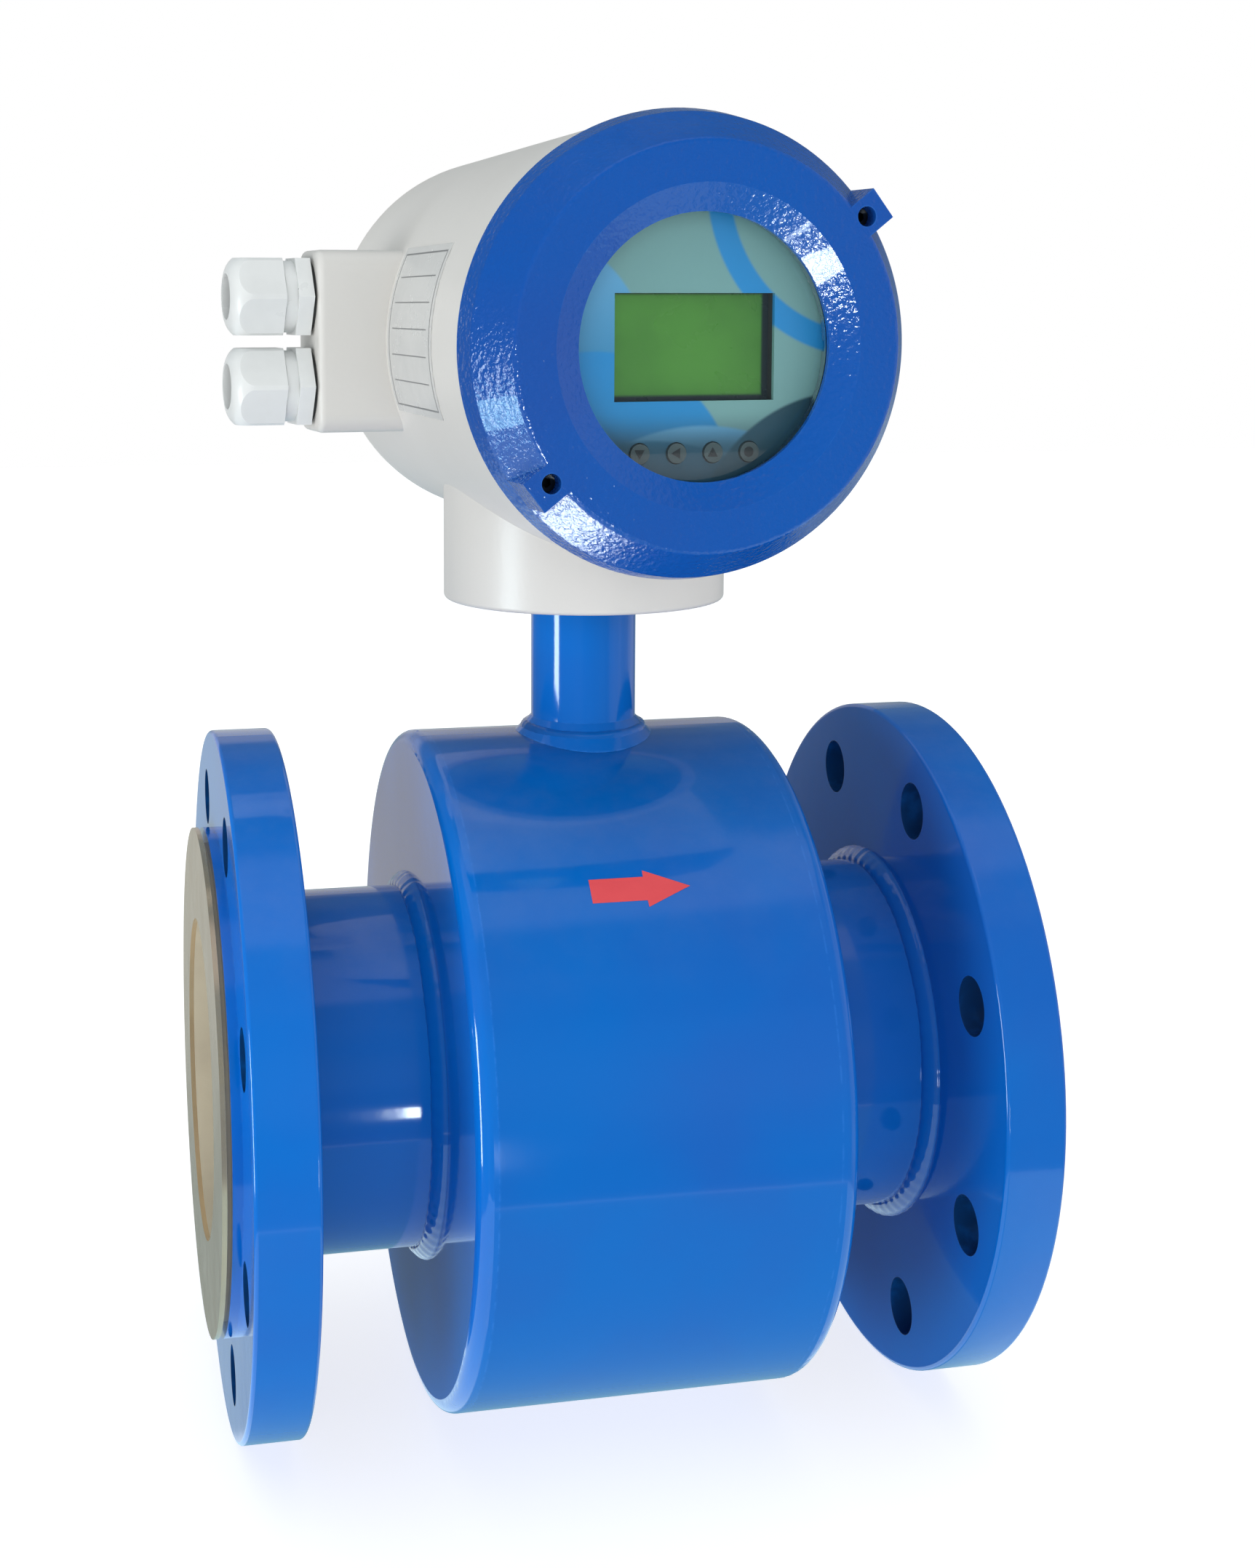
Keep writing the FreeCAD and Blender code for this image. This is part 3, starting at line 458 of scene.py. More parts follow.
@dataclass
class EffectShelf:
    """Builds each shared effect once and places it in the materials that use it."""

    drift_cloud: Pair = (0.35, 0.7)
    worn_and_lit_edge: Pair = (0.99, 0.86)
    worn_chips: Pair = (0.42, 0.58)
    chip_scale: float = 260.0
    dusty_slope: Pair = (0.3, 1.0)
    dusty_cloud: Pair = (0.35, 0.75)
    hole_margin: float = 0.15 * MM
    # Patches of the painted shade inside the bolt holes.
    hole_shade_cloud: Pair = (0.25, 0.55)
    hole_shade_scale: float = 140.0
    hole_shade_least: float = 0.7
    built: dict[Effect, Tree] = field(default_factory=dict)

    def use(self, graph: Graph, effect: Effect, **values: object) -> Socket:
        """Places an effect in a material; its group is made the first time.

        Args:
            graph: The material's graph.
            effect: Which effect.
            values: Its inputs by name, with _ for a space.

        Returns:
            The effect's one output.
        """
        if effect not in self.built:
            self.built[effect] = getattr(self, effect.value)()
        placed = graph.node("ShaderNodeGroup", node_tree=self.built[effect])
        return graph.fed(placed, **values).outputs[0]

    @staticmethod
    def start(effect: Effect, output: str, **inputs: object) -> tuple[Graph, list[Socket]]:
        """Begins a node group.

        Args:
            effect: The effect that the group makes.
            output: Name of its one output, a colour if so named and a value otherwise.
            inputs: Default of each input by name, with _ for a space.

        Returns:
            The graph, and the sockets that give the inputs.
        """
        tree = bpy.data.node_groups.new(effect.value, "ShaderNodeTree")
        for name, default in inputs.items():
            kind = "NodeSocketColor" if isinstance(default, tuple) else "NodeSocketFloat"
            socket = tree.interface.new_socket(name.replace("_", " "), in_out="INPUT",
                                               socket_type=kind)
            socket.default_value = default
        kind = "NodeSocketColor" if output == "Colour" else "NodeSocketFloat"
        tree.interface.new_socket(output, in_out="OUTPUT", socket_type=kind)
        graph = Graph(tree)
        return graph, list(graph.node("NodeGroupInput").outputs)[:len(inputs)]

    @staticmethod
    def close(graph: Graph, result: Socket) -> Tree:
        """Ends a node group with its result."""
        graph.fed(graph.node("NodeGroupOutput"), result)
        return graph.tree

    def paint_relief(self) -> Tree:
        """Orange peel of sprayed paint over a slower waviness.

        Returns:
            The node group.
        """
        graph, (peel_scale, peel, wave_scale, wave) = self.start(
            Effect.PAINT_RELIEF, "Height", Peel_Scale=300.0, Peel=0.5, Wave_Scale=40.0, Wave=0.5)
        place = graph.place()
        fine = graph.product(graph.noise(place, peel_scale, detail=2.0), peel)
        slow = graph.product(graph.noise(place, wave_scale, detail=1.0), wave)
        return self.close(graph, graph.maths("ADD", fine, slow))

    def colour_drift(self) -> Tree:
        """A colour that drifts slowly towards a second one.

        Returns:
            The node group.
        """
        graph, (colour, second, scale, amount) = self.start(
            Effect.COLOUR_DRIFT, "Colour", Colour=rgba([0.5] * 3), Second_Colour=rgba([0.4] * 3),
            Scale=20.0, Amount=0.5)
        cloud = graph.noise(graph.place(), scale, detail=4.0, roughness=0.55)
        mask = graph.maths("MULTIPLY", graph.remap(cloud, *self.drift_cloud), amount, clamp=True)
        return self.close(graph, graph.mix(mask, colour, second))

    def roughness_drift(self) -> Tree:
        """A roughness that varies in soft patches, like handled or wiped paint.

        Returns:
            The node group.
        """
        graph, (roughness, spread, scale) = self.start(
            Effect.ROUGHNESS_DRIFT, "Roughness", Roughness=0.3, Spread=0.1, Scale=30.0)
        cloud = graph.noise(graph.place(), scale, detail=5.0, roughness=0.6, distortion=0.4)
        drift = graph.product(graph.minus(cloud, 0.5), spread)
        return self.close(graph, graph.maths("ADD", roughness, drift, clamp=True))

    def edge_wear_and_highlight(self) -> Tree:
        """A mask that is one along sharp edges, broken up by noise; it marks worn paint and a painted highlight on
        the edges.

        Returns:
            The node group.
        """
        graph, (width, amount) = self.start(Effect.EDGE_WEAR_AND_HIGHLIGHT, "Mask", Width=0.8 * MM, Amount=0.5)
        bevel = graph.fed(graph.node("ShaderNodeBevel", samples=4), Radius=width)
        turned = graph.vectors("DOT_PRODUCT", bevel.outputs[0], graph.facing()).outputs["Value"]
        chips = graph.noise(graph.place(), self.chip_scale, detail=6.0, roughness=0.65)
        mask = graph.product(graph.remap(turned, *self.worn_and_lit_edge),
                             graph.remap(chips, *self.worn_chips), amount)
        return self.close(graph, mask)

    def settled_dust(self) -> Tree:
        """A mask of fine dust on faces that look up.

        Returns:
            The node group.
        """
        graph, (amount, scale) = self.start(Effect.SETTLED_DUST, "Mask", Amount=0.3, Scale=60.0)
        upward = graph.remap(graph.split(graph.facing())[2], *self.dusty_slope)
        cloud = graph.noise(graph.place(), scale, detail=8.0, roughness=0.7)
        mask = graph.product(upward, graph.remap(cloud, *self.dusty_cloud), amount)
        return self.close(graph, mask)

    def turning_marks(self) -> Tree:
        """Fine rings left by a lathe tool around the flow axis.

        Returns:
            The node group.
        """
        graph, (pitch_scale, depth) = self.start(
            Effect.TURNING_MARKS, "Height", Pitch_Scale=2500.0, Depth=0.5)
        x, y, z = graph.split(graph.place())
        turned = graph.fed(graph.node("ShaderNodeCombineXYZ"), X=graph.distance(y, z), Y=x)
        rings = graph.noise(turned.outputs[0], pitch_scale, detail=2.0)
        return self.close(graph, graph.product(rings, depth))

    def bolt_hole_shade(self) -> Tree:
        """A mask of painted shade inside holes that lie on a circle around the flow axis, in patches.

        Returns:
            The node group.
        """
        graph, (circle_radius, hole_radius, step, plate_start, amount) = self.start(
            Effect.BOLT_HOLE_SHADE, "Mask", Circle_Radius=90.0 * MM, Hole_Radius=9.0 * MM,
            Step=math.tau / 8, Plate_Start=0.1, Amount=0.8)
        x, y, z = graph.split(graph.place())
        radius = graph.distance(y, z)
        turn = graph.maths("FLOORED_MODULO", graph.maths("ARCTAN2", z, y), step)
        within = graph.minus(turn, graph.product(step, 0.5))
        along = graph.minus(graph.product(radius, graph.maths("COSINE", within)), circle_radius)
        across = graph.product(radius, graph.maths("SINE", within))
        wall = graph.maths("ADD", hole_radius, self.hole_margin)
        inside = graph.maths("LESS_THAN", graph.distance(along, across), wall)
        in_plate = graph.maths("GREATER_THAN", graph.maths("ABSOLUTE", x), plate_start)
        cloud = graph.noise(graph.place(), self.hole_shade_scale, detail=4.0)
        patches = graph.remap(cloud, *self.hole_shade_cloud, self.hole_shade_least)
        return self.close(graph, graph.product(inside, in_plate, patches, amount))


SHELF = EffectShelf()


@dataclass
class Surface:
    """A new material with one Principled shader, ready to be wired."""

    name: str

    def __post_init__(self) -> None:
        """Makes the empty material and its shader."""
        self.material = bpy.data.materials.new(self.name)
        self.material.use_nodes = True
        self.material.node_tree.nodes.clear()
        self.graph = Graph(self.material.node_tree)
        self.shader = self.graph.node("ShaderNodeBsdfPrincipled")
        self.output = self.graph.node("ShaderNodeOutputMaterial")
        self.graph.fed(self.output, Surface=self.shader.outputs[0])

    def set(self, **values: object) -> None:
        """Sets or wires the shader's sockets by name, with _ for a space."""
        self.graph.fed(self.shader, **values)

    def drift(self, colour: Iterable[float], second: Iterable[float], scale: float,
              amount: float) -> Socket:
        """A colour that drifts towards a second one."""
        return SHELF.use(self.graph, Effect.COLOUR_DRIFT, Colour=rgba(colour),
                         Second_Colour=rgba(second), Scale=scale, Amount=amount)

    def handled(self, roughness: float, spread: float, scale: float = 30.0) -> Socket:
        """A roughness that varies in soft patches."""
        return SHELF.use(self.graph, Effect.ROUGHNESS_DRIFT, Roughness=roughness, Spread=spread,
                         Scale=scale)

    def bump(self, height: Socket, strength: float, distance: float) -> Material:
        """Raises the surface by a height map.

        Args:
            height: The map.
            strength: How strongly it shows, up to one.
            distance: Height of a value of one, in metres.

        Returns:
            The finished material.
        """
        bump = self.graph.fed(self.graph.node("ShaderNodeBump"), Strength=strength,
                              Distance=distance, Height=height)
        self.set(Normal=bump.outputs[0])
        return self.material

    def grain(self, strength: float, distance: float, **relief: float) -> Material:
        """Raises the surface by the shared paint relief, with its inputs by name."""
        return self.bump(SHELF.use(self.graph, Effect.PAINT_RELIEF, **relief), strength, distance)


# ---- Finishes ----

@dataclass(frozen=True)
class Enamel:
    """Sprayed enamel or powder paint on metal."""

    name: str
    colour: Colour
    second: Colour
    # Paler edge colour: partly worn paint, partly a painted highlight.
    worn_and_lit: Colour
    roughness: float
    spread: float
    peel_scale: float
    peel: float
    wave: float
    relief: float
    wear_and_highlight: float
    dust: float
    coat: float = 0.0
    coat_roughness: float = 0.04
    drift_scale: float = 9.0
    drift_amount: float = 0.85
    on_flanges: bool = False
    dust_colour: Colour = (0.55, 0.56, 0.58)
    # Tone of the painted shade inside the bolt holes.
    hole_shade_colour: Colour = (0.004, 0.012, 0.035)

    def build(self) -> Material:
        """Makes the paint with drift, paler edges of wear and painted highlight, dust, painted shade in the
        flanges' bolt holes and orange peel.

        Returns:
            The finished material.
        """
        surface = Surface(self.name)
        graph = surface.graph
        base = surface.drift(self.colour, self.second, self.drift_scale, self.drift_amount)
        worn_and_lit = SHELF.use(graph, Effect.EDGE_WEAR_AND_HIGHLIGHT, Amount=self.wear_and_highlight)
        dust = SHELF.use(graph, Effect.SETTLED_DUST, Amount=self.dust)
        # Edges turn paler: partly wear, partly a painted highlight.
        coloured = graph.mix(worn_and_lit, base, rgba(self.worn_and_lit))
        coloured = graph.mix(dust, coloured, rgba(self.dust_colour))
        # On the flanges, painted shade darkens the walls of the bolt holes in patches.
        if self.on_flanges:
            circle, hole = bolt_sizes()
            hole_shade = SHELF.use(graph, Effect.BOLT_HOLE_SHADE, Circle_Radius=circle,
                              Hole_Radius=hole, Plate_Start=span_along("outlet_flange", FLOW)[0])
            coloured = graph.mix(hole_shade, coloured, rgba(self.hole_shade_colour))
        surface.set(Base_Color=coloured, Roughness=surface.handled(self.roughness, self.spread),
                    Coat_Weight=self.coat, Coat_Roughness=self.coat_roughness)
        return surface.grain(strength=1.0, distance=self.relief, Peel_Scale=self.peel_scale,
                             Peel=self.peel, Wave=self.wave)


@dataclass(frozen=True)
class Moulded:
    """Moulded plastic, rubber, film or ink."""

    name: str
    colour: Colour
    second: Colour
    roughness: float
    grain_scale: float = 900.0
    grain: float = 0.04 * MM
    glow_depth: float = 0.0
    glow: float = 0.25

    def build(self) -> Material:
        """Makes the plastic with a fine moulded grain.

        Returns:
            The finished material.
        """
        surface = Surface(self.name)
        surface.set(
            Base_Color=surface.drift(self.colour, self.second, scale=45.0, amount=0.7),
            Roughness=surface.handled(self.roughness, spread=0.16, scale=70.0))
        if self.glow_depth:
            surface.set(Subsurface_Weight=self.glow, Subsurface_Radius=(1.0, 1.0, 1.0),
                        Subsurface_Scale=self.glow_depth)
        return surface.grain(strength=1.0, distance=self.grain, Peel_Scale=self.grain_scale,
                             Peel=0.7, Wave_Scale=120.0, Wave=0.4)


@dataclass(frozen=True)
class BareMetal:
    """Turned, plated or wound metal."""

    name: str
    colour: Colour
    second: Colour
    roughness: float
    spread: float
    ring_scale: float
    ring_depth: float
    metallic: float = 1.0

    def build(self) -> Material:
        """Makes the metal with the marks of its making.

        Returns:
            The finished material.
        """
        surface = Surface(self.name)
        surface.set(
            Base_Color=surface.drift(self.colour, self.second, scale=35.0, amount=0.5),
            Roughness=surface.handled(self.roughness, self.spread, scale=80.0),
            Metallic=self.metallic)
        marks = SHELF.use(surface.graph, Effect.TURNING_MARKS, Pitch_Scale=self.ring_scale,
                          Depth=1.0)
        return surface.bump(marks, strength=0.6, distance=self.ring_depth)


@dataclass(frozen=True)
class ClearGlass:
    """The window, clear to light that falls through it."""

    name: str = "window_glass"
    tint: Colour = (0.985, 0.995, 0.99)
    refraction: float = 1.5

    def build(self) -> Material:
        """Makes glass that lets the light behind it through.

        Returns:
            The finished material.
        """
        surface = Surface(self.name)
        graph = surface.graph
        rough = surface.handled(roughness=0.012, spread=0.03, scale=90.0)
        surface.set(Base_Color=rgba(self.tint), Metallic=0.0, IOR=self.refraction,
                    Transmission_Weight=1.0, Roughness=rough)
        through = graph.node("ShaderNodeBsdfTransparent")
        blend = graph.node("ShaderNodeMixShader")
        path = graph.node("ShaderNodeLightPath")
        unseen = graph.maths("MAXIMUM", path.outputs["Is Shadow Ray"],
                             path.outputs["Is Diffuse Ray"])
        graph.fed(blend, unseen, surface.shader.outputs[0], through.outputs[0])
        graph.fed(surface.output, Surface=blend.outputs[0])
        return surface.material


@dataclass
class FacePlace:
    """A shaded point's place on the display: to the right of its middle, and above it."""

    graph: Graph

    def __post_init__(self) -> None:
        """Measures the two distances."""
        offset = self.graph.vectors("SUBTRACT", self.graph.place(), tuple(HEAD.origin)).outputs[0]
        right = tuple(across_head().along)
        self.across = self.graph.vectors("DOT_PRODUCT", offset, right).outputs["Value"]
        self.height = self.graph.split(offset)[2]

    def disc(self, x: float, z: float, radius: float, softness: float = 0.6 * MM) -> Socket:
        """A mask that is one inside a circle."""
        reach = self.graph.distance(self.graph.minus(self.across, x),
                                    self.graph.minus(self.height, z))
        return self.graph.remap(reach, radius + softness, radius - softness)


@dataclass(frozen=True)
class Hill:
    """A round hill of the print: its crest circle's middle, its radius and its colour."""

    x: float
    z: float
    radius: float
    tint: Colour


@dataclass(frozen=True)
class PrintedFace:
    """The face sheet: soft rolling bands of blue under a grey-green sky, printed on plastic, with painted shade
    low and to the lower right.
    """

    name: str = "printed_face"
    sky: Colour = (0.17, 0.36, 0.36)
    pale: Colour = (0.13, 0.42, 0.70)
    bright: Colour = (0.010, 0.25, 0.60)
    teal: Colour = (0.01, 0.20, 0.42)
    # Tone of the painted shade low on the sheet.
    bottom_shade: Colour = (0.012, 0.05, 0.075)
    arc_middle: Pair = (52.0 * MM, 46.0 * MM)
    arc_radii: Pair = (49.0 * MM, 42.0 * MM)
    hill_fade: float = 44.0
    hill_depth: float = 0.8
    shade_fade: Pair = (-17.0 * MM, -29.0 * MM)
    shade_depth: float = 0.88

    def hills(self) -> tuple[Hill, ...]:
        """The hills from back to front, in millimetres."""
        # The last hill, low on the right, is painted shade in that tone.
        return (Hill(-50.0, -4.0, 36.0, self.pale), Hill(-30.0, -44.0, 43.0, self.bright),
                Hill(2.0, -78.0, 56.0, self.pale), Hill(-14.0, -88.0, 62.0, self.teal),
                Hill(46.0, -60.0, 47.0, self.bottom_shade))

    def build(self) -> Material:
        """Makes the sheet's print from hills whose crests are big circles.

        Returns:
            The finished material.
        """
        surface = Surface(self.name)
        graph = surface.graph
        face = FacePlace(graph)
        outer, inner = (face.disc(*self.arc_middle, radius) for radius in self.arc_radii)
        colour = graph.mix(graph.minus(outer, inner), rgba(self.sky), rgba(self.bright))
        for hill in self.hills():
            mask = face.disc(hill.x * MM, hill.z * MM, hill.radius * MM)
            crest = hill.z + hill.radius
            fade = graph.remap(face.height, crest * MM, (crest - self.hill_fade) * MM, 0.0,
                               self.hill_depth)
            colour = graph.mix(mask, colour, graph.mix(fade, rgba(hill.tint), rgba(self.teal)))
        # Painted shade: the sheet darkens towards the bottom.
        low = graph.remap(face.height, *self.shade_fade, 0.0, self.shade_depth)
        colour = graph.mix(low, colour, rgba(self.bottom_shade))
        rough = surface.handled(roughness=0.32, spread=0.12, scale=60.0)
        surface.set(Base_Color=colour, Roughness=rough)
        return surface.grain(strength=0.5, distance=0.02 * MM, Peel_Scale=1500.0, Peel=0.6,
                             Wave=0.1)


@dataclass(frozen=True)
class LiquidCrystal:
    """The green display with its faint dot grid and a painted shadow of its recess along its edges."""

    name: str = "liquid_crystal"
    node: str = "lcd_glass"
    green: Colour = (0.060, 0.215, 0.030)
    dark: Colour = (0.040, 0.150, 0.022)
    # Tone of the painted shadow of the recess.
    recess_shadow: Colour = (0.010, 0.016, 0.020)
    glow: float = 0.25
    dot_pitch: float = 0.36 * MM
    dot_edge: Pair = (-0.9, -0.2)
    dot_depth: float = 0.16
    fade: float = 1.1 * MM
    shadow_sides: Pair = (5.9, -7.4)
    shadow_ends: Pair = (6.0, -4.9)

    def build(self) -> Material:
        """Makes the lit green of the display, its grid of dots and the painted recess shadow.

        Returns:
            The finished material.
        """
        surface = Surface(self.name)
        graph = surface.graph
        face = FacePlace(graph)
        cells = [graph.remap(graph.maths("SINE", graph.product(value, math.tau / self.dot_pitch)),
                             *self.dot_edge) for value in (face.across, face.height)]
        base = surface.drift(self.green, self.dark, scale=26.0, amount=0.8)
        colour = graph.mix(graph.product(*cells, self.dot_depth), base, rgba(self.dark))
        # Painted shadow of the recess darkens the glass along its edges.
        colour = graph.mix(self.edge(graph, face), colour, rgba(self.recess_shadow))
        rough = surface.handled(roughness=0.28, spread=0.1, scale=50.0)
        surface.set(Base_Color=colour, Roughness=rough, Emission_Color=colour,
                    Emission_Strength=self.glow)
        return surface.grain(strength=0.3, distance=0.02 * MM, Peel_Scale=1400.0, Peel=0.4,
                             Wave=0.1)

    def edge(self, graph: Graph, face: FacePlace) -> Socket:
        """A mask of the painted shadow of the recess along the glass's edges, wider to the right and below.

        Args:
            graph: The material's graph.
            face: The shaded point's place on the display.

        Returns:
            The mask.
        """
        left, right = span_along(self.node, across_head())
        bottom, top = span_along(self.node, Axis(HEAD.origin, HEAD.up, HEAD.along))
        to_left, to_right = self.shadow_sides
        to_bottom, to_top = self.shadow_ends
        mask: object = 0.0
        for value, border, width in (
                (face.across, left, to_left), (face.across, right, to_right),
                (face.height, top, to_top), (face.height, bottom, to_bottom)):
            inner = border + width * MM
            outer = inner - math.copysign(self.fade, width)
            mask = graph.maths("MAXIMUM", mask, graph.remap(value, inner, outer))
        return mask


@dataclass(frozen=True)
class CircuitBoard:
    """Green solder mask over copper tracks."""

    name: str = "circuit_board"
    mask_colour: Colour = (0.015, 0.16, 0.06)
    track: Colour = (0.03, 0.27, 0.10)
    track_scale: float = 160.0
    track_gap: float = 0.03

    def build(self) -> Material:
        """Makes the board with straight-edged tracks.

        Returns:
            The finished material.
        """
        surface = Surface(self.name)
        graph = surface.graph
        bricks = graph.fed(graph.node("ShaderNodeTexBrick", offset=0.5, squash=0.6),
                           Vector=graph.place(), Scale=self.track_scale,
                           Mortar_Size=self.track_gap).outputs["Fac"]
        surface.set(Base_Color=graph.mix(bricks, rgba(self.mask_colour), rgba(self.track)),
                    Roughness=surface.handled(roughness=0.35, spread=0.15, scale=60.0))
        return surface.bump(bricks, strength=0.5, distance=0.03 * MM)


# Each enamel's third colour is its paler edge colour, part wear and part painted highlight.
FINISHES = (
    Enamel("blue_enamel", (0.0, 0.130, 0.51), (0.010, 0.104, 0.45), (0.03, 0.20, 0.66),
           roughness=0.10, spread=0.05, peel_scale=170.0, peel=0.35, wave=0.9,
           relief=0.06 * MM, wear_and_highlight=0.5, dust=0.03, coat=0.3, on_flanges=True),
    Enamel("blue_cover", (0.001, 0.082, 0.39), (0.010, 0.068, 0.34), (0.03, 0.17, 0.56),
           roughness=0.16, spread=0.08, peel_scale=620.0, peel=1.0, wave=0.5,
           relief=0.40 * MM, wear_and_highlight=0.5, dust=0.02, coat=0.2),
    Enamel("white_enamel", (0.71, 0.69, 0.66), (0.67, 0.65, 0.615), (0.74, 0.73, 0.70),
           roughness=0.34, spread=0.10, peel_scale=520.0, peel=0.6, wave=0.5,
           relief=0.08 * MM, wear_and_highlight=0.3, dust=0.04),
    BareMetal("stainless", (0.74, 0.59, 0.40), (0.64, 0.50, 0.33), roughness=0.20, spread=0.12,
              ring_scale=2600.0, ring_depth=0.01 * MM, metallic=0.75),
    Moulded("liner", (0.66, 0.59, 0.45), (0.57, 0.50, 0.38), roughness=0.42),
    BareMetal("copper_winding", (0.72, 0.27, 0.10), (0.50, 0.17, 0.06), roughness=0.30,
              spread=0.1, ring_scale=900.0, ring_depth=0.25 * MM),
    BareMetal("core_steel", (0.30, 0.30, 0.31), (0.20, 0.19, 0.19), roughness=0.42,
              spread=0.15, ring_scale=700.0, ring_depth=0.02 * MM),
    Moulded("black_plastic", (0.022, 0.022, 0.025), (0.032, 0.032, 0.034), roughness=0.42),
    Moulded("black_rubber", (0.018, 0.018, 0.018), (0.035, 0.034, 0.033), roughness=0.72,
            grain_scale=500.0, grain=0.08 * MM),
    BareMetal("zinc_steel", (0.60, 0.60, 0.59), (0.45, 0.45, 0.46), roughness=0.30,
              spread=0.14, ring_scale=1500.0, ring_depth=0.01 * MM),
    BareMetal("black_steel", (0.035, 0.035, 0.04), (0.06, 0.058, 0.055), roughness=0.38,
              spread=0.15, ring_scale=1500.0, ring_depth=0.02 * MM),
    ClearGlass(),
    BareMetal("bare_aluminium", (0.66, 0.66, 0.67), (0.55, 0.55, 0.56), roughness=0.28,
              spread=0.1, ring_scale=1800.0, ring_depth=0.02 * MM),
    PrintedFace(),
    LiquidCrystal(),
    CircuitBoard(),
    Moulded("terminal_green", (0.02, 0.20, 0.06), (0.03, 0.24, 0.08), roughness=0.4),
    Moulded("key_grey", (0.050, 0.078, 0.085), (0.060, 0.088, 0.095), roughness=0.45),
    Moulded("nylon_white", (0.74, 0.75, 0.74), (0.67, 0.68, 0.67), roughness=0.30,
            grain_scale=260.0, grain=0.05 * MM, glow_depth=3.0 * MM),
    Moulded("arrow_red", (0.80, 0.075, 0.085), (0.72, 0.055, 0.065), roughness=0.40,
            grain_scale=700.0),
    Moulded("label_film", (0.60, 0.60, 0.585), (0.53, 0.53, 0.52), roughness=0.26,
            grain_scale=350.0),
    Moulded("label_ink", (0.20, 0.20, 0.20), (0.26, 0.26, 0.26), roughness=0.5),
    Moulded("symbol_ink", (0.012, 0.014, 0.018), (0.02, 0.022, 0.025), roughness=0.5),
)
FINISH_OF_SLOT = {"liner_white": "liner", "face_print": "printed_face",
                  "lcd_green": "liquid_crystal", "board_green": "circuit_board"}


class Finishes:
    """Every material, found by its name or by the record's slot that it serves."""

    def __init__(self) -> None:
        """Builds all the finishes."""
        self.built = {finish.name: finish.build() for finish in FINISHES}

    def get(self, slot: str) -> Material:
        """The finish of a slot, or the one with that name."""
        return self.built[FINISH_OF_SLOT.get(slot, slot)]

    def dress_nodes(self) -> None:
        """Gives each CAD node the finish of its slot."""
        for part in frame["record"]["subparts"]:
            materials = frame["nodes"][part["node"]].data.materials
            materials.clear()
            materials.append(self.get(part["material_slot"]))


# ---- The flow tube ----

